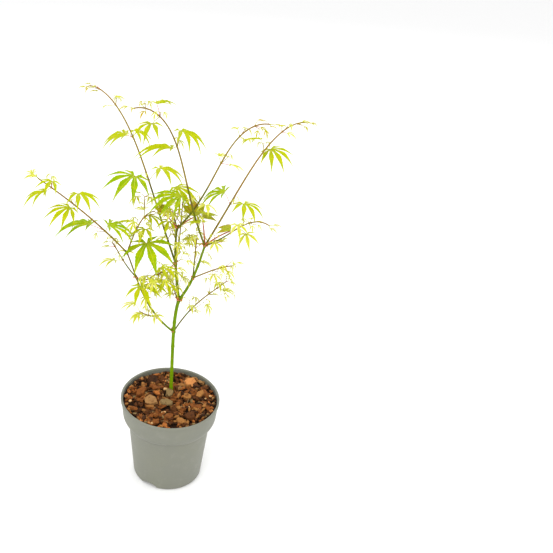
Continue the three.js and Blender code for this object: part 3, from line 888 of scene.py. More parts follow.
class Growth:
    """The whole plant: every limb's middle line, and the leaves of every spray."""

    def __init__(self) -> None:
        """Grows the limbs, the leaves of each spray, the broad leaves, and last the young shoots."""
        self.curves: dict[str, LimbCurve] = {}
        for name, plan in LIMBS.items():
            start = self.curves[plan.parent].point(plan.at) if plan.parent else GROUND
            self.curves[name] = LimbCurve(start, plan.heading, plan.rise, plan.length, plan.bend, plan.nod)
        self.twigs = [Twig(self.curves[name], plan.girth) for name, plan in LIMBS.items()]
        self.leaves: list[Leaf] = []
        for name, plan in SPRAYS.items():
            self._grow_spray(name, plan, random_stream(plan.seed))
        self.side_twigs = self.twigs[len(LIMBS) :]
        for broad in BROAD_LEAVES:
            bough = self.curves[broad.bough]
            stalk = LimbCurve(bough.point(1.0), broad.heading, broad.rise, broad.stalk, RULE.stalk_sag)
            aim = turned(broad.face, broad.pitch, broad.roll)
            self.leaves.append(Leaf(broad.bough, Role.BROAD, bough, stalk, broad.blade, aim, broad.youth))
        self.bud_shoots: list[Twig] = []
        for name, plan in SPRAYS.items():
            self._grow_buds(name, plan, random_stream(plan.seed + RULE.bud_seed))
        log.info("the plant has %d leaves on %d twigs", len(self.leaves), len(self.twigs))

    def _stands_clear(self, leaf: Leaf) -> bool:
        """Tells whether a leaf keeps clear of all the wood and leaves that stand already.

        Args:
            leaf: The leaf, which keeps a share of the rule's clearances where it is a young shoot's.

        Returns:
            True where it is clear.
        """
        ease = RULE.bud_clear if leaf.role is Role.BUD else 1.0
        for twig in self.twigs:
            marks = leaf.marks[1:] if twig.curve is leaf.twig else leaf.marks
            clear = RULE.clear_of_wood[0] + RULE.clear_of_wood[1] * leaf.blade + twig.girth[0] / 2
            if self._gap(marks, twig.curve.points) < clear * ease:
                return False
        for other in self.leaves:
            clear = RULE.clear_of_leaf[0] + RULE.clear_of_leaf[1] * (leaf.blade + other.blade)
            if self._gap(leaf.marks, other.marks) < clear * ease:
                return False
        return True

    @staticmethod
    def _gap(some: np.ndarray, others: np.ndarray) -> float:
        """Gives the least distance between two rows of points."""
        return math.sqrt(np.min(np.sum((some[:, None, :] - others[None, :, :]) ** 2, axis=2)))

    def _grow_leaf(
        self,
        spray: str,
        youth: float,
        twig: LimbCurve,
        at: float,
        turn: float,
        blade: float,
        draw: Draw,
        face: float | None = None,
        role: Role = Role.OWN,
    ) -> None:
        """Grows one leaf, swung round its twig by the first swing that stands clear, or none.

        Args:
            spray: The spray's name.
            youth: Its node's place on the stem.
            twig: The twig that it grows on.
            at: Its place on the twig.
            turn: Its stalk's turn round the twig.
            blade: Its length.
            draw: The spray's stream of numbers.
            face: The heading of its blade, where that is given.
            role: What the leaf is.
        """
        length = blade * within(RULE.stalk_share, draw)
        drift = within(RULE.drift, draw)
        pitch = within(RULE.pitch, draw) - (RULE.bud_hang if role is Role.BUD else 0.0)
        roll = within(RULE.roll, draw)
        for swing in RULE.swings:
            stalk = twig.shoot(at, RULE.stalk_angle, turn + swing, length, RULE.stalk_sag)
            inward = wrap_turn(twig.heading - stalk.heading)
            heading = stalk.heading + RULE.follow * inward if face is None else face
            leaf = Leaf(spray, role, twig, stalk, blade, turned(heading + drift, pitch, roll), youth)
            if self._stands_clear(leaf):
                self.leaves.append(leaf)
                return

    def _grow_spray(self, name: str, plan: SprayPlan, draw: Draw) -> None:
        """Grows a spray: at each node a leaf, its partner opposite it and perhaps a side twig with leaves.

        Args:
            name: The spray's name.
            plan: Its plan.
            draw: Its stream of numbers.
        """
        stem = self.curves[name]
        for index, at in enumerate(plan.nodes):
            turn, blade = plan.turns[index], plan.blades[index]
            self._grow_leaf(name, at, stem, at, turn, blade, draw, plan.faces[index])
            partner = blade * within(RULE.partner_share, draw)
            across = 90 + wrap_turn(turn + 90) * (1 - RULE.partner_lift) + within(RULE.partner_turn, draw)
            facing = plan.opposite[index] if plan.opposite else None
            self._grow_leaf(name, at, stem, at, across, partner, draw, facing)
            branches = draw() < RULE.side_twig_chance and partner > RULE.side_twig_smallest_leaf
            if not plan.bushy or not branches or index == len(plan.nodes) - 1:
                continue
            length = partner * within(RULE.side_twig_share, draw)
            side = stem.shoot(at, RULE.side_twig_angle, (turn + across) / 2, length, RULE.side_twig_sag)
            self.twigs.append(Twig(side, RULE.side_twig_girth))
            for place, round_twig in RULE.side_twig_leaves:
                small = partner * RULE.side_twig_leaf
                self._grow_leaf(name, at, side, place, turn + round_twig, small, draw)

    def _grow_buds(self, name: str, plan: SprayPlan, draw: Draw) -> None:
        """Carries a spray finer: short young shoots with a pair of small leaves in the axil of each node.

        Args:
            name: The spray's name.
            plan: Its plan.
            draw: The stream of numbers of its young shoots.
        """
        stem, rule = self.curves[name], RULE.bushy_buds if plan.bushy else RULE.buds
        for at, leaf_turn in zip(plan.nodes[:-1], plan.turns):
            for side in rule.sides:
                turn = leaf_turn + side + within(RULE.bud_turn, draw)
                length = within(rule.length, draw)
                shoot = stem.shoot(at, RULE.side_twig_angle, turn, length, RULE.side_twig_sag)
                before = len(self.leaves)
                for across in (0.0, 180.0):
                    blade = within(rule.blade, draw)
                    self._grow_leaf(name, at, shoot, 1.0, across, blade, draw, role=Role.BUD)
                if len(self.leaves) > before:
                    self.bud_shoots.append(Twig(shoot, RULE.bud_girth))


# The pot


@dataclass
class NurseryPot:
    """The round grey pot: rounded foot, tapering wall, shoulder, collar and lip, with two drain recesses."""

    rim: float = 105.0
    height: float = 98.6
    foot: float = 75.0
    wall: float = 1.5
    floor: float = 3.0
    lip_height: float = 3.0
    lip_proud: float = 0.8
    lip_bead: float = 1.1
    lip_steps: int = 8
    lip_under: Span = (0.15, 0.1)
    collar_height: float = 18.0
    collar_flare: float = 1.6
    shoulder_height: float = 12.0
    shoulder_step: float = 6.4
    shoulder_heel: Span = (0.55, 0.2)
    shoulder_crest: float = 0.6
    shoulder_steps: int = 16
    foot_round: float = 3.5
    foot_steps: int = 6
    ring_steps: int = 160
    recess_width: float = 19.0
    recess_height: float = 5.5
    recess_depth: float = 7.0
    recess_turns: Span = (-120.0, 60.0)
    arch_flat: float = 0.1
    arch_steps: int = 9
    drain_diameter: float = 5.0
    drain_sides: int = 24
    overcut: float = 2.0
    finish: Finish = Finish(
        "grey_moulded_plastic",
        base=(0.192, 0.196, 0.153),
        specular=0.3,
        layers=(
            Layer(Effect.MOTTLE, 38.0, (0.186, 0.19, 0.155), 0.38, 0.62),
            Layer(Effect.MOTTLE, 9.0, (0.212, 0.214, 0.174), 0.5, 0.75, relief=0.06),
            Layer(Effect.MOTTLE, 0.9, (0.192, 0.195, 0.156), 0.45, 0.7, relief=0.02),
            Layer(Effect.SPECKS, 14.0, (0.08, 0.08, 0.065), 0.02, 0.035),
        ),
    )

    def outline(self, inset: float, rounded: bool = False) -> list[Vector]:
        """Gives the outer outline from the foot to under the lip, as radius and height.

        Args:
            inset: How far it is moved inwards.
            rounded: Whether the foot's edge is rounded.

        Returns:
            The points from the foot upwards.
        """
        top = self.rim / 2 - self.lip_proud
        belly = top - self.collar_flare
        neck = belly - self.shoulder_step
        high = self.height - self.collar_height
        low = high - self.shoulder_height
        points = [] if rounded else [Vector((self.foot / 2, 0.0))]
        for step in range(self.foot_steps + 1 if rounded else 0):
            cosine, sine = cos_sin(90 / self.foot_steps * step)
            reach = self.foot / 2 - self.foot_round * (1 - sine)
            points.append(Vector((reach, self.foot_round * (1 - cosine))))
        heel, rise = self.shoulder_heel
        ends = (
            Vector((neck, low)),
            Vector((neck + self.shoulder_step * heel, low + self.shoulder_height * rise)),
            Vector((belly, low + self.shoulder_height * self.shoulder_crest)),
            Vector((belly, high)),
        )
        for step in range(self.shoulder_steps + 1):
            t = step / self.shoulder_steps
            share = ((1 - t) ** 3, 3 * t * (1 - t) ** 2, 3 * t * t * (1 - t), t**3)
            points.append(sum((end * part for end, part in zip(ends, share)), Vector((0.0, 0.0))))
        points.append(Vector((top, self.height - self.lip_height)))
        return [Vector((point.x - inset, point.y)) for point in points]

    def wall_at(self, height: float, inset: float) -> float:
        """Gives the outer outline's radius at a height, moved inwards by an inset.

        Args:
            height: The height.
            inset: The inset.

        Returns:
            The radius.
        """
        points = self.outline(inset)
        for low, high in zip(points, points[1:]):
            if height <= high.y:
                return lerp(low.x, high.x, (height - low.y) / (high.y - low.y))
        return points[-1].x

    def filling(self, inset: float, floor: float, top: float) -> list[Vector]:
        """Gives the outline of what fills the pot.

        Args:
            inset: The distance from the pot's outer face.
            floor: The height of its underside.
            top: The height of its upper face at the wall.

        Returns:
            The points from the middle of the underside to the wall's top.
        """
        points = [Vector((0.0, floor)), Vector((self.wall_at(floor, inset), floor))]
        points += [point for point in self.outline(inset) if floor < point.y < top]
        points.append(Vector((self.wall_at(min(top, self.height - self.lip_height), inset), top)))
        return points

    def turn(self, outline: Sequence[Vector], steps: int) -> Body:
        """Spins an outline round the pot's axis into a closed body.

        Args:
            outline: The points, with both ends on the axis.
            steps: The faces round the axis.

        Returns:
            The body.
        """
        bm = bmesh.new()
        verts = [bm.verts.new((point.x, 0.0, point.y)) for point in outline]
        edges = [bm.edges.new(pair) for pair in zip(verts, verts[1:])]
        bmesh.ops.spin(
            bm,
            geom=verts + edges,
            cent=(0, 0, 0),
            axis=(0, 0, 1),
            angle=math.tau,
            steps=steps,
            use_merge=True,
        )
        bmesh.ops.remove_doubles(bm, verts=bm.verts, dist=WELD)
        bmesh.ops.recalc_face_normals(bm, faces=bm.faces)
        return bm

    def recesses(self, grow: float) -> Body:
        """Makes the arched blocks of the two drain recesses.

        Args:
            grow: How far the blocks are grown.

        Returns:
            The blocks in one mesh.
        """
        bm = bmesh.new()
        half, crown = self.recess_width / 2 + grow, self.recess_height + grow
        flat, bow = self.arch_flat, 1 - self.arch_flat
        arch = [(-half, -self.overcut), (half, -self.overcut)]
        for step in range(self.arch_steps):
            cosine, sine = cos_sin(90 / self.arch_steps * step)
            arch.append((half * (flat + bow * cosine), crown * (flat + bow * sine)))
        arch.append((half * flat, crown))
        arch += [(-x, z) for x, z in reversed(arch[2:])]
        for turn in self.recess_turns:
            verts = [bm.verts.new((self.foot / 2 - self.recess_depth - grow, x, z)) for x, z in arch]
            block = bmesh.ops.extrude_face_region(bm, geom=[bm.faces.new(verts)])
            moved = [item for item in block["geom"] if isinstance(item, bmesh.types.BMVert)]
            bmesh.ops.translate(bm, verts=moved, vec=(self.recess_depth * 2, 0.0, 0.0))
            spin = Matrix.Rotation(math.radians(turn), 3, "Z")
            bmesh.ops.rotate(bm, verts=verts + moved, cent=(0, 0, 0), matrix=spin)
            bmesh.ops.recalc_face_normals(bm, faces=bm.faces)
        return bm

    def drains(self) -> Body:
        """Makes the round bars of the two drain holes.

        Returns:
            The bars in one mesh.
        """
        bm = bmesh.new()
        place = Matrix.Translation((self.foot / 2 - self.recess_depth / 2, 0.0, self.recess_height))
        for turn in self.recess_turns:
            bmesh.ops.create_cone(
                bm,
                cap_ends=True,
                segments=self.drain_sides,
                radius1=self.drain_diameter / 2,
                radius2=self.drain_diameter / 2,
                depth=self.recess_height,
                matrix=Matrix.Rotation(math.radians(turn), 4, "Z") @ place,
            )
        return bm

    def carved(self, body: Body, cutter: Body) -> Body:
        """Cuts one closed body out of another; both are freed.

        Args:
            body: The body that is cut.
            cutter: The body that is taken away.

        Returns:
            The cut body.
        """
        objects = []
        for bm in (body, cutter):
            mesh = bpy.data.meshes.new("shaping")
            bm.to_mesh(mesh)
            bm.free()
            shape = bpy.data.objects.new("shaping", mesh)
            bpy.context.collection.objects.link(shape)
            objects.append(shape)
        cut = objects[0].modifiers.new("cut", "BOOLEAN")
        cut.operation = "DIFFERENCE"
        cut.solver = "EXACT"
        cut.object = objects[1]
        shaped = objects[0].evaluated_get(bpy.context.evaluated_depsgraph_get()).to_mesh()
        result = bmesh.new()
        result.from_mesh(shaped)
        for shape in objects:
            mesh = shape.data
            bpy.data.objects.remove(shape)
            bpy.data.meshes.remove(mesh)
        return result

    def build(self) -> None:
        """Builds the pot's shell."""
        edge, bead = self.rim / 2, self.lip_bead
        outer = [Vector((0.0, 0.0)), *self.outline(0.0, rounded=True)]
        outer.append(Vector((edge - self.lip_under[0], self.height - self.lip_height + self.lip_under[1])))
        lip = Vector((edge - self.lip_proud * bead, self.height - self.lip_proud * bead))
        for step in range(self.lip_steps + 1):
            outer.append(lip + Vector(cos_sin(180 / self.lip_steps * step)) * self.lip_proud * bead)
        outer.append(Vector((0.0, self.height - self.lip_proud)))
        inner = self.filling(self.wall, self.floor, self.height + self.overcut)
        inner.append(Vector((0.0, self.height + self.overcut)))
        shell, cavity = self.turn(outer, self.ring_steps), self.turn(inner, self.ring_steps)
        shell = self.carved(shell, self.carved(cavity, self.recesses(self.wall)))
        shell = self.carved(self.carved(shell, self.recesses(0.0)), self.drains())
        settle(shell, "pot_shell", self.finish, ["pot"], crease=40.0)


# The mulch


@dataclass(frozen=True)
class ChipKind:
    """A kind of bark chip: its finish, how many there are, and their lengths."""

    name: str
    tone: Rgb
    dark: Rgb
    count: int
    length: Span

    def finish(self) -> Finish:
        """Gives the kind's fibrous bark finish.

        Returns:
            The finish.
        """
        layers = (
            Layer(Effect.MOTTLE, 4.0, self.dark, 0.5, 0.72, relief=0.15),
            Layer(Effect.FIBRE, 0.5, self.dark, 0.5, 0.8, relief=-0.2),
        )
        return Finish(self.name, self.tone, roughness=0.75, specular=0.12, layers=layers)


@dataclass(frozen=True)
class PlacedChip:
    """A chip that stands out: its kind's name, place, size, and turns."""

    kind: str
    x: float
    y: float
    size: Triple
    turn: float
    tilt: float


@dataclass(frozen=True)
class ChipForm:
    """The form of a bark chip: its corners, how far it narrows, and how rough and warped it is.

    A chip that is at least `wide` across starts from the second number of corners, and one number out of
    `more` is drawn from there on.
    """

    wide: float = 8.0
    corners: tuple[int, int] = (4, 6)
    more: int = 3
    narrow: float = 0.42
    narrow_range: float = 0.08
    rough: Triple = (0.55, 0.3, 0.7)
    bevel: float = 0.045
    warp: float = 0.5

    def add(self, bm: Body, size: Triple, place: Matrix, draw: Draw) -> None:
        """Adds one flat splinter of bark with broken edges.

        Args:
            bm: The mesh.
            size: Its length, width and thickness.
            place: Its place and turn.
            draw: The stream of numbers.
        """
        corners = self.corners[size[1] >= self.wide] + int(draw() * self.more)
        narrow = self.narrow + self.narrow_range * draw()
        made = bmesh.ops.create_cone(
            bm, cap_ends=True, segments=corners, radius1=0.5, radius2=narrow, depth=1.0
        )
        verts = made["verts"]
        for vert in verts:
            jog = jogged(self.rough[0], draw)
            vert.co.x *= jog
            vert.co.y *= jog * jogged(self.rough[1], draw)
            vert.co.z *= jogged(self.rough[2], draw)
        edges = list({edge for vert in verts for edge in vert.link_edges})
        bevelled = bmesh.ops.bevel(
            bm, geom=edges, offset=self.bevel, affect="EDGES", segments=1, profile=0.5, material=-1
        )
        verts = list({vert for face in bevelled["faces"] for vert in face.verts})
        warp = (draw() - 0.5) * self.warp
        for vert in verts:
            vert.co.z += warp * vert.co.x * abs(vert.co.x) * 2
            vert.co = Vector((vert.co.x * size[0], vert.co.y * size[1], vert.co.z * size[2]))
        bmesh.ops.transform(bm, matrix=place, verts=verts)


def flattened(point: Vector, size: float, form: Span) -> Vector:
    """Brings a point of a ball to its size, by the shares of its width and height."""
    return Vector((point.x * size, point.y * size * form[0], point.z * size * form[1]))


@dataclass
class BarkMulch:
    """The compost under its bark chips, crumbs, pebbles and rootlets."""

    pot: NurseryPot
    edge_drop: float = 4.4
    bump: float = 1.1
    waves: Triple = (15.0, 17.0, 11.0)
    level_reach: float = 7.0
    seam: float = 0.3
    soil_drop: float = 1.4
    soil_grain: Span = (0.35, 0.5)
    soil_octaves: tuple[float, float, int] = (0.6, 2.0, 4)
    soil_rings: int = 28
    soil_sides: int = 96
    wall_clear: float = 0.4
    trunk_clear: Span = (3.6, 0.6)
    seed: int = 11
    chip_kinds: tuple[ChipKind, ...] = (
        ChipKind("rust_chips", (0.21, 0.066, 0.012), (0.06, 0.017, 0.004), 104, (6.0, 14.0)),
        ChipKind("brown_chips", (0.096, 0.031, 0.007), (0.028, 0.009, 0.002), 124, (5.0, 13.0)),
        ChipKind("dark_chips", (0.046, 0.016, 0.005), (0.013, 0.006, 0.002), 80, (4.0, 10.0)),
        ChipKind("tan_chips", (0.34, 0.147, 0.038), (0.12, 0.04, 0.009), 54, (4.0, 10.0)),
        ChipKind("orange_chips", (0.40, 0.13, 0.027), (0.15, 0.038, 0.008), 36, (4.0, 10.0)),
        ChipKind("olive_chips", (0.23, 0.15, 0.06), (0.12, 0.07, 0.026), 16, (4.0, 9.0)),
        ChipKind("fawn_chips", (0.32, 0.165, 0.058), (0.19, 0.086, 0.026), 10, (4.0, 9.0)),
        ChipKind("peach_chips", (0.60, 0.25, 0.075), (0.36, 0.11, 0.025), 9, (3.5, 7.0)),
    )
    placed: tuple[PlacedChip, ...] = (
        PlacedChip("peach_chips", 21.0, 30.5, (14.0, 12.0, 3.0), 25.0, 24.0),
        PlacedChip("fawn_chips", -20.4, -7.0, (14.5, 16.0, 2.6), 10.0, 10.0),
        PlacedChip("olive_chips", -3.8, -8.4, (14.5, 9.0, 2.2), -12.0, 8.0),
        PlacedChip("olive_chips", -0.9, 6.2, (8.0, 9.0, 4.6), 30.0, 14.0),
        PlacedChip("dark_chips", -19.5, 30.0, (12.0, 13.0, 3.0), 15.0, 12.0),
        PlacedChip("rust_chips", 8.1, -11.0, (13.0, 5.0, 3.0), 60.0, 14.0),
        PlacedChip("rust_chips", -31.8, 6.4, (17.0, 8.0, 2.6), 60.0, 10.0),
        PlacedChip("tan_chips", 18.5, 1.5, (9.5, 9.0, 3.4), -10.0, 12.0),
        PlacedChip("tan_chips", 31.9, 8.9, (13.0, 7.5, 2.4), 50.0, 14.0),
        PlacedChip("orange_chips", -13.7, 6.0, (11.0, 5.0, 2.6), -30.0, 14.0),
        PlacedChip("tan_chips", 11.2, -37.5, (10.0, 8.0, 2.6), -35.0, 18.0),
        PlacedChip("brown_chips", 21.3, -30.0, (11.0, 10.0, 2.8), 20.0, 14.0),
    )
    chip_form: ChipForm = ChipForm()
    placed_lift: float = 3.0
    chip_width: Span = (0.28, 0.65)
    chip_thickness: Span = (1.2, 2.6)
    chip_lift: Span = (0.4, 3.0)
    chip_tilt: float = 34.0
    wall_chips: int = 150
    wall_chip_length: Span = (3.0, 5.5)
    wall_chip_width: float = 2.0
    crumb_seed: int = 61
    crumb_count: int = 520
    crumb_margin: float = 1.0
    crumb_size: Span = (1.0, 3.4)
    crumb_form: Span = (0.7, 0.5)
    crumb_rough: float = 0.5
    crumb_lift: Span = (0.3, 1.8)
    crumb_tilt: float = 60.0
    crumb_finish: Finish = Finish(
        "crumbs_of_bark",
        base=(0.096, 0.034, 0.010),
        roughness=0.85,
        specular=0.1,
        layers=(Layer(Effect.MOTTLE, 2.2, (0.03, 0.014, 0.008), 0.4, 0.62, relief=0.1),),
    )
    # Painted shade: the compost's very dark base and its dark specks are partly its own tone and partly shade
    # painted into the gaps between the chips, where the soil shows.
    soil_and_gap_shade_finish: Finish = Finish(
        "compost_and_gap_shade",
        base=(0.026, 0.012, 0.006),
        roughness=0.9,
        specular=0.1,
        layers=(
            Layer(Effect.MOTTLE, 1.6, (0.06, 0.026, 0.01), 0.5, 0.7, relief=0.5),
            Layer(Effect.SPECKS, 2.2, (0.012, 0.007, 0.005), 0.1, 0.4, relief=-0.4),
        ),
    )
    pebble_seed: int = 71
    pebble_spots: tuple[Triple, ...] = (
        (-5.6, 16.0, 5.2),
        (-36.0, -19.0, 4.4),
        (43.0, 6.9, 3.6),
        (20.0, -12.5, 3.0),
        (-42.0, -7.0, 3.6),
    )
    pebbles_more: int = 5
    pebble_margin: float = 3.0
    pebble_size: Span = (2.0, 3.2)
    pebble_form: Span = (0.8, 0.6)
    pebble_swell: Span = (0.22, 2.5)
    pebble_lift: Span = (2.2, 0.25)
    pebble_tilt: float = 20.0
    pebble_finish: Finish = Finish(
        "pale_grit",
        base=(0.60, 0.36, 0.15),
        roughness=0.45,
        specular=0.2,
        layers=(Layer(Effect.MOTTLE, 1.4, (0.42, 0.22, 0.09), 0.45, 0.7, relief=0.05),),
    )
    rootlet_seed: int = 81
    rootlet_count: int = 14
    rootlet_margin: float = 9.0
    rootlet_lift: float = 0.6
    rootlet_length: Span = (6.0, 15.0)
    rootlet_rise: Span = (10.0, 45.0)
    rootlet_bend: Span = (-80.0, -30.0)
    rootlet_radius: float = 0.28
    rootlet_taper: float = 0.6
    rootlet_finish: Finish = Finish(
        "dry_rootlets",
        base=(0.40, 0.27, 0.12),
        roughness=0.7,
        layers=(Layer(Effect.MOTTLE, 2.0, (0.2, 0.1, 0.04), 0.4, 0.7, relief=0.05),),
    )

    def height(self, x: float, y: float) -> float:
        """Gives the height of the mulch's face, which waves a little and is level round the trunk.

        Args:
            x: The place across.
            y: The place in depth.

        Returns:
            The height.
        """
        across, along = math.tau * x / self.waves[0], math.tau * y / self.waves[1]
        skew = math.tau * (y - x / 2) / self.waves[2]
        waves = math.sin(across) * math.cos(along) + math.sin(skew)
        open_ground = self.pot.height - self.edge_drop + self.bump * waves / 2
        near = math.hypot(x - GROUND[0], y - GROUND[1]) / self.level_reach
        return lerp(open_ground, GROUND[2] - self.seam, min(1.0, max(0.0, 2.0 - near)))

    def bed(self) -> None:
        """Builds the compost that fills the pot."""
        top = self.pot.height - self.edge_drop
        outline = self.pot.filling(self.pot.wall + self.seam, self.pot.floor + self.seam, top)
        edge, rings = outline[-1].x, self.soil_rings
        outline += [Vector((edge * (1 - step / rings), top)) for step in range(1, rings + 1)]
        bm = self.pot.turn(outline, self.soil_sides)
        grain_scale, grain_height = self.soil_grain
        for vert in bm.verts:
            if vert.co.z > top - 0.01:
                grain = noise.fractal(vert.co * grain_scale, *self.soil_octaves) * grain_height
                vert.co.z = self.height(vert.co.x, vert.co.y) - self.soil_drop + grain
        bm = self.pot.carved(bm, self.pot.recesses(self.pot.wall + self.seam))
        # The compost's finish carries painted shade for the gaps between the chips.
        settle(bm, "compost_bed", self.soil_and_gap_shade_finish, ["bark_mulch"], crease=40.0)

    def _place(self, draw: Draw, margin: float, by_wall: bool = False) -> Span:
        """Draws a place on the mulch that is clear of the trunk.

        Args:
            draw: The stream of numbers.
            margin: How far it keeps from the wall.
            by_wall: Whether it lies along the wall.

        Returns:
            The place.
        """
        edge = self.pot.rim / 2 - self.pot.lip_proud - self.pot.wall - self.pot.collar_flare * self.wall_clear
        while True:
            reach, turn = math.sqrt(draw()) * (edge - margin), draw() * math.tau
            reach = edge - margin - self.wall_chip_width * draw() if by_wall else reach
            x, y = reach * math.cos(turn), reach * math.sin(turn)
            if math.hypot(x - GROUND[0], y - GROUND[1]) > self.trunk_clear[0] + margin * self.trunk_clear[1]:
                return x, y

    def _lie(self, x: float, y: float, lift: float, turn: float, tilt: float, lean: float) -> Matrix:
        """Gives the place of something that lies on the compost.

        Args:
            x: Its place across.
            y: Its place in depth.
            lift: Its middle's height over the compost.
            turn: Its turn seen from above.
            tilt: Its tilt.
            lean: Where it tilts to, in radians.

        Returns:
            The place as a matrix.
        """
        spot = Matrix.Translation((x, y, self.height(x, y) - self.soil_drop + lift))
        tip = Matrix.Rotation(math.radians(tilt), 4, Vector((math.cos(lean), math.sin(lean), 0.0)))
        return spot @ tip @ Matrix.Rotation(math.radians(turn), 4, "Z")

    def _drop(self, x: float, y: float, lift: float, tilt: float, draw: Draw) -> Matrix:
        """Gives the place of something that is dropped on the compost with drawn turns.

        Args:
            x: Its place across.
            y: Its place in depth.
            lift: Its middle's height over the compost.
            tilt: The most that it tilts.
            draw: The stream of numbers.

        Returns:
            The place as a matrix.
        """
        return self._lie(x, y, lift, draw() * 360, draw() * tilt, draw() * math.tau)

    def chips(self) -> None:
        """Scatters the chips, one joined piece for each kind."""
        by_wall = self.wall_chips // len(self.chip_kinds)
        for number, kind in enumerate(self.chip_kinds):
            draw = random_stream(self.seed + number)
            bm = bmesh.new()
            for chip in self.placed:
                if chip.kind == kind.name:
                    lift = self.placed_lift + chip.size[2] / 2
                    place = self._lie(chip.x, chip.y, lift, chip.turn, chip.tilt, 0.0)
                    self.chip_form.add(bm, chip.size, place, draw)
            for scattered in range(kind.count + by_wall):
                length = within(self.wall_chip_length if scattered < by_wall else kind.length, draw)
                width = length * within(self.chip_width, draw)
                size = (length, width, within(self.chip_thickness, draw))
                x, y = self._place(draw, length * 0.5, scattered < by_wall)
                place = self._drop(x, y, within(self.chip_lift, draw), self.chip_tilt, draw)
                self.chip_form.add(bm, size, place, draw)
            bmesh.ops.recalc_face_normals(bm, faces=bm.faces)
            settle(bm, kind.name, kind.finish(), crease=28.0)

    def crumbs(self) -> None:
        """Scatters small crumbs of bark between the chips."""
        draw = random_stream(self.crumb_seed)
        bm = bmesh.new()
        for _ in range(self.crumb_count):
            x, y = self._place(draw, self.crumb_margin)
            place = self._drop(x, y, within(self.crumb_lift, draw), self.crumb_tilt, draw)
            size = within(self.crumb_size, draw)
            made = bmesh.ops.create_icosphere(bm, subdivisions=1, radius=0.5)
            for vert in made["verts"]:
                vert.co *= jogged(self.crumb_rough, draw)
                vert.co = flattened(vert.co, size, self.crumb_form)
            bmesh.ops.transform(bm, matrix=place, verts=made["verts"])
        settle(bm, "bark_crumbs", self.crumb_finish, crease=30.0)

    def pebbles(self) -> None:
        """Lays the few pale pebbles."""
        draw = random_stream(self.pebble_seed)
        bm = bmesh.new()
        spots = list(self.pebble_spots)
        for _ in range(self.pebbles_more):
            spots.append((*self._place(draw, self.pebble_margin), within(self.pebble_size, draw)))
        for x, y, size in spots:
            lift = self.pebble_lift[0] + size * self.pebble_lift[1]
            place = self._drop(x, y, lift, self.pebble_tilt, draw)
            made = bmesh.ops.create_icosphere(bm, subdivisions=3, radius=0.5)
            for vert in made["verts"]:
                spot = vert.co * self.pebble_swell[1] + Vector((x, y, size))
                swell = 1.0 + self.pebble_swell[0] * noise.noise(spot)
                vert.co = flattened(vert.co, size, self.pebble_form) * swell
            bmesh.ops.transform(bm, matrix=place, verts=made["verts"])
        settle(bm, "pale_pebbles", self.pebble_finish, crease=60.0)

    def rootlets(self) -> None:
        """Lays a few fine dry rootlets over the chips."""
        draw = random_stream(self.rootlet_seed)
        bm = tube_mesh()
        for _ in range(self.rootlet_count):
            x, y = self._place(draw, self.rootlet_margin)
            start = np.array([x, y, self.height(x, y) + self.rootlet_lift])
            length, turn = within(self.rootlet_length, draw), draw() * 360
            rise, bend = within(self.rootlet_rise, draw), within(self.rootlet_bend, draw)
            arc = LimbCurve(start, turn, rise, length, bend)
            radius = self.rootlet_radius
            sweep(bm, arc, lambda t, _: radius * (1 - self.rootlet_taper * t), sides=5, rings=8)
        bmesh.ops.recalc_face_normals(bm, faces=bm.faces)
        settle(bm, "fine_rootlets", self.rootlet_finish)

    def build(self) -> None:
        """Builds the compost and everything that lies on it."""
        self.bed()
        self.chips()
        self.crumbs()
        self.pebbles()
        self.rootlets()


# The wood


def tube_mesh() -> Body:
    """Starts a mesh of tubes with the layer that tells how far along its limb a place lies.

    Returns:
        The mesh.
    """
    bm = bmesh.new()
    bm.loops.layers.uv.new("along")
    return bm


def tapered(girth: Span) -> Radius:
    """Gives the radius of a twig that tapers evenly between its two diameters."""
    return lambda t, _: lerp(girth[0] / 2, girth[1] / 2, t)


def sweep(
    bm: Body, curve: LimbCurve, radius: Radius, sides: int, rings: int, span: Span = (0.0, 1.0)
) -> None:
    """Rolls a grid into a closed tube round a limb's middle line.

    Args:
        bm: The mesh that it goes into.
        curve: The middle line.
        radius: Gives the tube's radius at a place along it and a turn round it.
        sides: The faces round the tube.
        rings: The faces along it.
        span: The part of the limb that it covers.
    """
    patch = grid_patch(bm, rings, sides)
    lines: dict[float, tuple[np.ndarray, np.ndarray, np.ndarray]] = {}
    for vert, along, across in patch:
        key, t = round(along, 5), lerp(*span, along)
        if key not in lines:
            lines[key] = (curve.point(t), curve.side(), curve.over(t))
        middle, side, over = lines[key]
        turn = across * math.tau
        vert.co = Vector(middle + (side * math.cos(turn) + over * math.sin(turn)) * radius(t, turn))
    verts = [vert for vert, _, _ in patch]
    bmesh.ops.remove_doubles(bm, verts=verts, dist=WELD)
    rims = {edge for vert in verts if vert.is_valid for edge in vert.link_edges if edge.is_boundary}
    bmesh.ops.edgeloop_fill(bm, edges=list(rims))


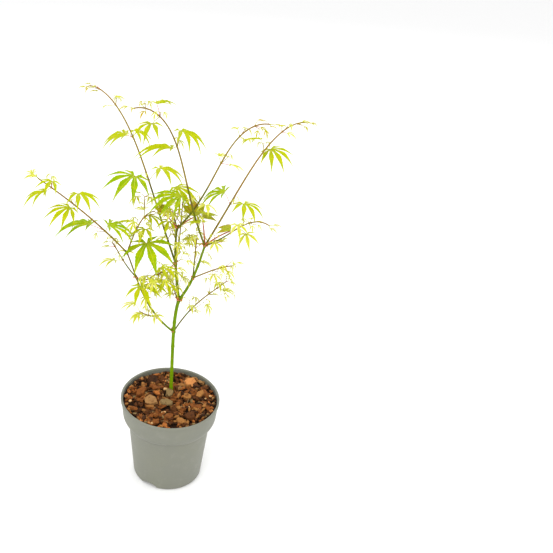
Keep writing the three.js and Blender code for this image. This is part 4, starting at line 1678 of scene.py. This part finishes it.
@dataclass
class Woodwork:
    """The trunk and the main boughs with their bark, greener low down and browner towards the shoots."""

    growth: Growth
    flare: Span = (0.9, 6.0)
    fill: dict[str, Span] = field(
        default_factory=lambda: {"trunk": (0.82, 1.0), "leader": (1.15, 1.15), "right_bough": (1.15, 1.15)}
    )
    sides: int = 20
    ring_length: float = 1.1
    node_spacing: float = 27.0
    node_swell: float = 0.28
    node_width: float = 1.5
    relief: float = 0.07
    skin_scale: Span = (1.6, 0.16)
    skin_grain: float = 1.5
    skin_octaves: tuple[float, float, int] = (0.7, 2.0, 3)
    streak_shade: float = 0.55
    barks: dict[str, tuple[Rgb, Rgb]] = field(
        default_factory=lambda: {
            "trunk": ((0.155, 0.285, 0.001), (0.14, 0.25, 0.001)),
            "left_bough": ((0.145, 0.235, 0.003), (0.18, 0.11, 0.02)),
            "leader": ((0.14, 0.245, 0.002), (0.16, 0.16, 0.008)),
            "right_bough": ((0.14, 0.245, 0.002), (0.15, 0.22, 0.005)),
        }
    )

    def _bark(self, name: str) -> Finish:
        """Mixes the bark of a limb from the colours of its foot and tip.

        Args:
            name: The limb's name.

        Returns:
            The finish.
        """
        base, tip = self.barks[name]
        darker = tuple(value * self.streak_shade for value in base)
        layers = (
            Layer(Effect.FIBRE, 1.1, darker, 0.52, 0.85, relief=-0.05),
            Layer(Effect.MOTTLE, 7.0, (0.22, 0.33, 0.01), 0.55, 0.8),
            Layer(Effect.SPECKS, 2.6, (0.42, 0.42, 0.16), 0.03, 0.10, relief=0.05),
        )
        return Finish(f"{name}_bark", base, specular=0.06, tip_tone=tip, layers=layers)

    def _radius(self, name: str) -> Radius:
        """Gives a limb's radius with its flare, its swollen nodes and the relief of its bark.

        Args:
            name: The limb's name.

        Returns:
            A function of the place along the limb and the turn round it.
        """
        plan = WOOD[name]
        curve = self.growth.curves[name]
        joints = [other.at for other in (*SPRAYS.values(), *WOOD.values()) if other.parent == name]
        spaces = max(1, round(plan.length / self.node_spacing))
        joints += [step / spaces for step in range(1, spaces)]
        fill = self.fill.get(name, (1.0, 1.0))
        round_skin, along_skin = self.skin_scale

        def radius(t: float, turn: float) -> float:
            """Gives the radius.

            Args:
                t: The place along the limb.
                turn: The turn round it, in radians.

            Returns:
                The radius.
            """
            reach = lerp(*plan.girth, t) / 2 * lerp(*fill, t)
            if name == "trunk":
                reach += self.flare[0] / 2 * math.exp(-t * plan.length / self.flare[1])
            for joint in joints:
                reach += self.node_swell * math.exp(-(((t - joint) * plan.length / self.node_width) ** 2))
            east, north, up = math.cos(turn), math.sin(turn), curve.point(t)[2]
            skin = Vector((east * round_skin, north * round_skin, up * along_skin))
            return reach + self.relief * noise.fractal(skin * self.skin_grain, *self.skin_octaves)

        return radius

    def build(self) -> None:
        """Builds the trunk and the boughs."""
        for name, plan in WOOD.items():
            bm = tube_mesh()
            rings = round(plan.length / self.ring_length)
            sweep(bm, self.growth.curves[name], self._radius(name), self.sides, rings)
            bmesh.ops.recalc_face_normals(bm, faces=bm.faces)
            settle(bm, f"{name}_wood", self._bark(name), [name], crease=70.0)


# The foliage


def shoot_finish(name: str, base: Rgb, patches: Layer, streak: Rgb) -> Finish:
    """Mixes the bark of the shoots from its colour, its patches and the colour of its streaks."""
    layers = (patches, Layer(Effect.FIBRE, 0.7, streak, 0.55, 0.8, relief=-0.03))
    return Finish(name, base, specular=0.08, layers=layers)


class ShootTone(Enum):
    """The bark of the shoots: the foot of a stem, its middle, and its tip with the thin twigs."""

    OLIVE = shoot_finish(
        "olive_shoots",
        (0.14, 0.165, 0.004),
        Layer(Effect.MOTTLE, 6.0, (0.16, 0.10, 0.025), 0.45, 0.7),
        (0.06, 0.075, 0.01),
    )
    BROWN = shoot_finish(
        "brown_shoots",
        (0.25, 0.175, 0.010),
        Layer(Effect.MOTTLE, 6.0, (0.17, 0.14, 0.03), 0.5, 0.75),
        (0.09, 0.045, 0.018),
    )
    PURPLE = shoot_finish(
        "purple_shoots",
        (0.27, 0.155, 0.014),
        Layer(Effect.MOTTLE, 5.0, (0.26, 0.19, 0.02), 0.5, 0.75),
        (0.13, 0.055, 0.012),
    )


def stalk_finish(name: str, base: Rgb, patch: Rgb) -> Finish:
    """Mixes a leaf stalk's finish from its colour and the colour of its patches."""
    layers = (Layer(Effect.MOTTLE, 4.0, patch, 0.5, 0.75, relief=0.02),)
    return Finish(name, base, specular=0.15, layers=layers)


class StalkTone(Enum):
    """The leaf stalks: most of them pale green, coral under every fifth leaf and the broad leaves."""

    GREEN = stalk_finish("green_stalks", (0.40, 0.42, 0.03), (0.50, 0.28, 0.07))
    CORAL = stalk_finish("coral_stalks", (0.50, 0.13, 0.055), (0.56, 0.25, 0.08))


LEAF_SHADE = 0.62


def leaf_finish(name: str, base: Rgb, other: Rgb) -> Finish:
    """Mixes a leaf's finish from its colour and the colour of its thin places."""
    layers = (
        Layer(Effect.MOTTLE, 7.0, other, 0.42, 0.68),
        Layer(Effect.MOTTLE, 1.1, tuple(value * LEAF_SHADE for value in base), 0.5, 0.75, relief=0.05),
    )
    return Finish(name, base, specular=0.04, layers=layers)


class LeafTint(Enum):
    """The tints of the leaves: the grown green ones, the young pale and amber ones, and the broad ones."""

    GREEN = leaf_finish("green_leaf", (0.26, 0.405, 0.0), (0.44, 0.50, 0.001))
    LIME = leaf_finish("lime_leaf", (0.43, 0.49, 0.0), (0.53, 0.53, 0.006))
    PALE = leaf_finish("pale_leaf", (0.60, 0.61, 0.04), (0.70, 0.68, 0.17))
    AMBER = leaf_finish("amber_leaf", (0.52, 0.52, 0.025), (0.55, 0.38, 0.03))
    OLIVE = leaf_finish("olive_leaf", (0.38, 0.43, 0.03), (0.44, 0.25, 0.03))
    BRONZE = leaf_finish("bronze_leaf", (0.32, 0.325, 0.004), (0.44, 0.22, 0.015))


def on_midrib(across: float) -> bool:
    """Tells whether a place across a lobe's grid lies on its midrib."""
    return abs(across - 0.5) < 0.1


@dataclass
class BladeTemplate:
    """A flat palmate blade of length 1 with toothed lobes, each folded up from its midrib.

    A young blade is still half closed: `spread` is the share of the full turn that its lobes have reached.
    """

    kind: BladeKind
    spread: float = 1.0
    lobe_width: float = 0.195
    lobe_widest: float = 0.48
    lobe_point: float = 1.35
    notch_depth: float = 0.2
    heel_turn: float = 36.0
    heel: float = 0.13
    fold: float = 0.45
    closed_width: float = 0.35
    closed_fold: float = 1.3
    palm_rows: int = 2
    palm: float = 0.8
    teeth: int = 10
    tooth_depth: float = 0.055
    tooth_lean: float = 0.3
    rib_rows: int = 6
    rib_length: float = 0.92
    rib_width: float = 0.022
    rib_taper: float = 0.8
    rib_lift: Span = (0.003, 0.006)

    def __post_init__(self) -> None:
        """Joins the lobes into one sheet, with a thin ridge along each midrib apart."""
        blade, ribs = bmesh.new(), bmesh.new()
        blade.loops.layers.uv.new("lobe")
        ribs.loops.layers.uv.new("lobe")
        self.width = self.lobe_width * lerp(self.closed_width, 1.0, self.spread)
        self.fold_up = lerp(self.closed_fold, self.fold, self.spread)
        last = len(self.kind.lobes) - 1
        for index, (full_turn, share) in enumerate(self.kind.lobes):
            turn = full_turn * self.spread
            inner = self._notch(index - 1) if index else self._notch(0)
            outer = self._notch(index) if index < last else (self.heel_turn * self.spread, self.heel)
            self._lobe(blade, turn, share, inner, outer)
            self._rib(ribs, turn, share)
            if index:
                self._lobe(blade, -turn, share, outer, inner)
                self._rib(ribs, -turn, share)
        bmesh.ops.remove_doubles(blade, verts=blade.verts, dist=WELD)
        bmesh.ops.recalc_face_normals(blade, faces=blade.faces)
        self.sheet = self._mesh(blade, "blade")
        self.ribs = self._mesh(ribs, "ribs")

    def _mesh(self, bm: Body, part: str) -> bpy.types.Mesh:
        """Keeps a finished flat shape as a mesh with its upper side up.

        Args:
            bm: The shape, which is freed.
            part: What it is.

        Returns:
            The mesh.
        """
        bm.normal_update()
        if sum(face.normal.z * face.calc_area() for face in bm.faces) < 0:
            bmesh.ops.reverse_faces(bm, faces=bm.faces)
        mesh = bpy.data.meshes.new(f"{self.kind.name}_{part}_{round(self.spread * 100)}")
        bm.to_mesh(mesh)
        bm.free()
        return mesh

    def _notch(self, index: int) -> Span:
        """Gives the half angle between a lobe and the next, and how far out the notch between them lies."""
        (turn, _), (after, share) = self.kind.lobes[index], self.kind.lobes[index + 1]
        return (after - turn) / 2 * self.spread, share * self.notch_depth

    def _margin(self, reach: float, row: int, rows: int, notch: Span) -> Span:
        """Gives a point of a lobe's margin.

        Args:
            reach: The lobe's length.
            row: The point's number from the stalk.
            rows: The last row, at the lobe's tip.
            notch: The notch on this side.

        Returns:
            Its distance along the lobe and its distance from the midrib.
        """
        (cosine, sine), depth = cos_sin(notch[0]), notch[1]
        if row <= self.palm_rows:
            part = depth * row / self.palm_rows
            return part * cosine, part * sine
        if row == rows:
            return reach, 0.0
        base, waist = depth * cosine, reach * self.lobe_widest
        part = (row - self.palm_rows) / (rows - self.palm_rows)
        along = lerp(base, reach, part)
        full = reach * self.width / 2
        if along < waist:
            wide = lerp(depth * sine, full, smoothstep((along - base) / (waist - base)))
        else:
            wide = full * (1 - (along - waist) / (reach - waist)) ** self.lobe_point
        deep = self.tooth_depth * wide
        if (row - self.palm_rows) % 2 == 0:
            return along, wide - deep
        return along + self.tooth_lean * ((reach - base) / (rows - self.palm_rows)), wide + deep

    def _folded(self, x: float, y: float, turn: float, lift: float = 0.0) -> Vector:
        """Gives a point of a lobe, folded up from the midrib and turned to the lobe's place.

        Args:
            x: Its distance along the lobe.
            y: Its distance to the left of the midrib.
            turn: The lobe's turn from the middle one.
            lift: Its height over the sheet.

        Returns:
            The point.
        """
        cosine, sine = cos_sin(turn)
        return Vector((x * cosine - y * sine, x * sine + y * cosine, lift + self.fold_up * abs(y)))

    def _lobe(self, bm: Body, turn: float, share: float, right: Span, left: Span) -> None:
        """Shapes one lobe from a grid of two faces across.

        Args:
            bm: The mesh that it goes into.
            turn: The lobe's turn from the middle one.
            share: Its length.
            right: The notch on its right, as a half angle and a depth.
            left: The notch on its left.
        """
        rows = self.palm_rows + self.teeth * 2
        palm = min(right[1], left[1]) * self.palm
        for vert, along, across in grid_patch(bm, rows, 2):
            row = round(along * rows)
            if on_midrib(across):
                part = (row - self.palm_rows) / (rows - self.palm_rows)
                inner = row <= self.palm_rows
                x, y = (palm * row / self.palm_rows) if inner else lerp(palm, share, part), 0.0
            else:
                x, y = self._margin(share, row, rows, right if across < 0.5 else left)
                y = -y if across < 0.5 else y
            vert.co = self._folded(x, y, turn)

    def _rib(self, bm: Body, turn: float, share: float) -> None:
        """Shapes the thin ridge along a lobe's midrib.

        Args:
            bm: The mesh that it goes into.
            turn: The lobe's turn from the middle one.
            share: Its length.
        """
        for vert, along, across in grid_patch(bm, self.rib_rows, 2):
            y = (across - 0.5) * self.rib_width * (1 - self.rib_taper * along)
            lift = self.rib_lift[on_midrib(across)]
            vert.co = self._folded(along * share * self.rib_length, y, turn, lift)


@dataclass
class BudScales:
    """The red scales of the buds: how many at a fork, how they turn and how long they are."""

    growth: Growth
    seed: int = 77
    at_fork: int = 3
    fork_turn: Span = (-70.0, 70.0)
    fork_under: float = 0.35
    fork_aim: Span = (0.9, 0.7)
    fork_foot: Span = (0.8, 0.35)
    fork_size: Span = (1.1, 1.6)
    stout: Span = (0.4, 3.2)
    on_trunk: tuple[Span, ...] = ((0.36, 50.0), (0.38, 230.0), (0.86, 160.0))
    trunk_foot: float = 1.7
    trunk_aim: float = 0.6
    trunk_size: float = 1.5
    node_foot: float = 0.5
    node_aim: float = 0.8
    node_size: Span = (1.0, 1.5)
    taper: float = 0.55
    form: Span = (0.8, 0.55)
    sunk: float = 0.35
    finish: Finish = Finish(
        "red_bud_scales",
        base=(0.52, 0.15, 0.06),
        roughness=0.45,
        specular=0.1,
        layers=(Layer(Effect.MOTTLE, 1.2, (0.62, 0.28, 0.12), 0.45, 0.65, relief=0.05),),
    )

    def _scale(self, bm: Body, place: np.ndarray, away: np.ndarray, size: float) -> None:
        """Adds one pointed bud scale.

        Args:
            bm: The mesh that it goes into.
            place: The middle of the bud's foot.
            away: The way that it points.
            size: Its length.
        """
        made = bmesh.ops.create_uvsphere(bm, u_segments=8, v_segments=6, radius=0.5)
        deep, wide = self.form
        for vert in made["verts"]:
            x, y, z = vert.co
            taper = 1.0 - self.taper * (z + 0.5)
            vert.co = Vector((x * taper * size * deep, y * taper * size * wide, z * size))
        aim = Vector(away).to_track_quat("Z", "Y").to_matrix().to_4x4()
        spot = Matrix.Translation(Vector(place) + Vector(away).normalized() * size * self.sunk)
        bmesh.ops.transform(bm, matrix=spot @ aim, verts=made["verts"])

    def build(self) -> None:
        """Sets the bud scales at the foot of every limb, on the trunk and at the nodes of every stem."""
        draw = random_stream(self.seed)
        bm = bmesh.new()
        for name, plan in LIMBS.items():
            if not plan.parent:
                continue
            curve, carrier = self.growth.curves[name], self.growth.curves[plan.parent]
            reach = LIMBS[plan.parent].girth[1] / 2
            stout = min(self.stout[1], self.stout[0] + reach + plan.girth[0])
            for _ in range(self.at_fork):
                turn = within(self.fork_turn, draw) + (180 if draw() < self.fork_under else 0)
                out, ahead = curve.out(0, turn), curve.direction(0)
                foot = carrier.point(plan.at) + ahead * reach * self.fork_foot[0]
                foot = foot + out * plan.girth[0] * self.fork_foot[1]
                away = out * self.fork_aim[0] + ahead * self.fork_aim[1]
                self._scale(bm, foot, away, within(self.fork_size, draw) * stout)
        trunk = self.growth.curves["trunk"]
        for place, turn in self.on_trunk:
            out = trunk.out(place, turn)
            away = out * self.trunk_aim + trunk.direction(place)
            self._scale(bm, trunk.point(place) + out * self.trunk_foot, away, self.trunk_size)
        for name, plan in SPRAYS.items():
            curve = self.growth.curves[name]
            for node, leaf_turn in zip(plan.nodes[:-1], plan.turns):
                for turn in (leaf_turn, leaf_turn + 180):
                    out = curve.out(node, turn)
                    away = out * self.node_aim + curve.direction(node)
                    foot = curve.point(node) + out * self.node_foot
                    self._scale(bm, foot, away, within(self.node_size, draw))
        settle(bm, "bud_scales", self.finish)


@dataclass
class Foliage:
    """The shoots, leaf stalks, blades and veins of all the sprays."""

    growth: Growth
    shoot_sides: int = 8
    twig_sides: int = 6
    shoot_ring: float = 2.2
    shoot_splits: Span = (0.4, 0.8)
    warm_splits: Span = (0.04, 0.3)
    warm_shoots: tuple[str, ...] = (
        "far_right_spray",
        "right_low_spray",
        "left_inner_spray",
        "far_left_spray",
    )
    shoot_swell: float = 1.25
    node_swell: Span = (0.16, 1.0)
    foot_swell: Span = (0.2, 1.5)
    stalk_girth: Span = (0.62, 0.42)
    stalk_shares: dict[Role, float] = field(
        default_factory=lambda: {Role.OWN: 1.1, Role.BUD: 0.8, Role.BROAD: 2.8}
    )
    stalk_flare: Span = (0.25, 14.0)
    stalk_sides: int = 6
    stalk_rings: int = 7
    coral_every: int = 5
    spreads: tuple[float, ...] = (1.0, 0.85, 0.7, 0.55)
    spread_span: Span = (1.05, 0.6)
    stretch_span: Span = (1.08, 1.3)
    bud_spread: float = 0.7
    broad_spread: float = 0.85
    arch: float = 14.0
    wave: Span = (0.0, 0.05)
    wave_seed: int = 1000
    green_blade: float = 30.0
    lime_blade: float = 19.0
    lighter_nodes: Span = (0.5, 0.9)
    amber_node: float = 0.85
    amber_blade: float = 10.0
    long_shoots: tuple[str, ...] = ("top_left", "top_middle", "top_right", "far_right", "right")
    vein_finish: Finish = Finish(
        "leaf_veins",
        base=(0.42, 0.50, 0.025),
        specular=0.1,
        layers=(Layer(Effect.MOTTLE, 4.0, (0.50, 0.44, 0.06), 0.45, 0.7, relief=0.02),),
    )

    def tint(self, leaf: Leaf) -> LeafTint:
        """Deals out a leaf's tint by its spray, its node and its size.

        Args:
            leaf: The leaf.

        Returns:
            The tint.
        """
        tip = leaf.youth > self.amber_node and leaf.blade < self.amber_blade
        if tip and leaf.spray.removesuffix("_spray") in self.long_shoots:
            return LeafTint.AMBER
        if leaf.role is Role.BROAD:
            return LeafTint.BRONZE if leaf.spray == "leader" else LeafTint.OLIVE
        if leaf.role is Role.BUD:
            return LeafTint.PALE
        lighter = self.lighter_nodes[0] < leaf.youth < self.lighter_nodes[1]
        if leaf.blade >= self.green_blade and not lighter:
            return LeafTint.GREEN
        return LeafTint.LIME if leaf.blade >= self.lime_blade else LeafTint.PALE

    def _templates(self) -> dict[tuple[str, float], BladeTemplate]:
        """Shapes the flat blades that are set on the stalks.

        Returns:
            The blades by the name of their kind and their spread.
        """
        kinds = [(kind, spread) for kind in BLADE_KINDS for spread in self.spreads]
        templates = {(kind.name, spread): BladeTemplate(kind, spread) for kind, spread in kinds}
        templates[BROAD_KIND.name, self.bud_spread] = BladeTemplate(
            BROAD_KIND,
            self.broad_spread,
            lobe_width=0.42,
            lobe_widest=0.42,
            notch_depth=0.5,
            heel=0.2,
            fold=0.35,
        )
        return templates

    def blades(self) -> None:
        """Builds all the blades, joined by tint, and the veins on them."""
        templates = self._templates()
        sheets = {tint: bmesh.new() for tint in LeafTint}
        veins = bmesh.new()
        for number, leaf in enumerate(self.growth.leaves):
            draw = random_stream(self.wave_seed + number)
            wanted = self.bud_spread if leaf.role is not Role.OWN else lerp(*self.spread_span, leaf.youth)
            spread = min(self.spreads, key=lambda step, wanted=wanted: abs(step - wanted))
            template = templates[leaf.kind.name, spread]
            wave, phase = within(self.wave, draw), draw() * math.tau
            stretch = lerp(*self.stretch_span, leaf.youth)
            for flat, target in ((template.sheet, sheets[self.tint(leaf)]), (template.ribs, veins)):
                before = len(target.verts)
                target.from_mesh(flat)
                target.verts.ensure_lookup_table()
                verts = target.verts[before:]
                points = np.array([vert.co for vert in verts]) * leaf.blade * stretch
                lobes = np.arctan2(points[:, 1], points[:, 0])
                reach = np.hypot(points[:, 0], points[:, 1]) / leaf.blade
                points[:, 2] += leaf.blade * wave * np.sin(2 * lobes + phase) * reach**2
                for vert, place in zip(verts, leaf.bend(points, self.arch)):
                    vert.co = Vector(place)
        for tint, bm in sheets.items():
            settle(bm, f"{tint.name.lower()}_leaves", tint.value, crease=50.0)
        settle(veins, "leaf_veins", self.vein_finish)

    def _settle_tubes(self, groups: dict[Enum, Body]) -> None:
        """Turns the meshes of the stalks or the shoots into pieces; the first shoots stand for the sprays.

        Args:
            groups: The meshes by their tones.
        """
        for tone, bm in groups.items():
            bmesh.ops.recalc_face_normals(bm, faces=bm.faces)
            stands_for = list(SPRAYS) if tone is ShootTone.OLIVE else []
            settle(bm, tone.value.name, tone.value, stands_for)

    def _stalk_radius(self, role: Role) -> Radius:
        """Gives a leaf stalk's radius, which flares at its foot.

        Args:
            role: What its leaf is.

        Returns:
            A function of the place along the stalk and the turn round it.
        """
        foot, tip = (girth / 2 * self.stalk_shares[role] for girth in self.stalk_girth)
        flare, fall = self.stalk_flare
        return lambda t, _: lerp(foot, tip, t) + flare * foot * math.exp(-t * fall)

    def stalks(self) -> None:
        """Builds the leaf stalks, coral under the broad leaves and every fifth leaf of the others."""
        groups = {tone: tube_mesh() for tone in StalkTone}
        for number, leaf in enumerate(self.growth.leaves):
            fifth = leaf.role is Role.OWN and number % self.coral_every == 0
            tone = StalkTone.CORAL if fifth or leaf.role is Role.BROAD else StalkTone.GREEN
            radius = self._stalk_radius(leaf.role)
            sweep(groups[tone], leaf.stalk, radius, self.stalk_sides, self.stalk_rings)
        self._settle_tubes(groups)

    def _stem_radius(self, plan: SprayPlan) -> Radius:
        """Gives a stem's radius with a small swelling at each node.

        Args:
            plan: The spray's plan.

        Returns:
            A function of the place along the stem and the turn round it.
        """

        def radius(t: float, _: float) -> float:
            """Gives the radius.

            Args:
                t: The place along the stem.

            Returns:
                The radius.
            """
            reach = lerp(*plan.girth, t) / 2 * self.shoot_swell
            for node in plan.nodes[:-1]:
                near = (t - node) * plan.length / self.node_swell[1]
                reach += self.node_swell[0] * math.exp(-(near**2))
            return reach + self.foot_swell[0] * math.exp(-t * plan.length / self.foot_swell[1])

        return radius

    def shoots(self) -> None:
        """Builds the stems and side twigs, joined by the tone of their bark."""
        groups = {tone: tube_mesh() for tone in ShootTone}
        for name, plan in SPRAYS.items():
            olive, brown = self.warm_splits if name in self.warm_shoots else self.shoot_splits
            for tone, span in zip(ShootTone, ((0.0, olive), (olive, brown), (brown, 1.0))):
                rings = max(2, round(plan.length * (span[1] - span[0]) / self.shoot_ring))
                stem = self.growth.curves[name]
                sweep(groups[tone], stem, self._stem_radius(plan), self.shoot_sides, rings, span)
        for twig in (*self.growth.side_twigs, *self.growth.bud_shoots):
            rings = max(3, round(twig.curve.length / self.shoot_ring))
            sweep(groups[ShootTone.PURPLE], twig.curve, tapered(twig.girth), self.twig_sides, rings)
        self._settle_tubes(groups)

    def build(self) -> None:
        """Builds all of the sprays' pieces."""
        self.shoots()
        self.stalks()
        self.blades()
        BudScales(self.growth).build()


def main() -> None:
    """Builds the studio, the pot, its mulch and the plant in order."""
    logging.basicConfig(level=logging.INFO, format="%(name)s: %(message)s")
    Studio().build()
    pot = NurseryPot()
    pot.build()
    BarkMulch(pot).build()
    growth = Growth()
    Woodwork(growth).build()
    Foliage(growth).build()


if __name__ == "__main__":
    main()
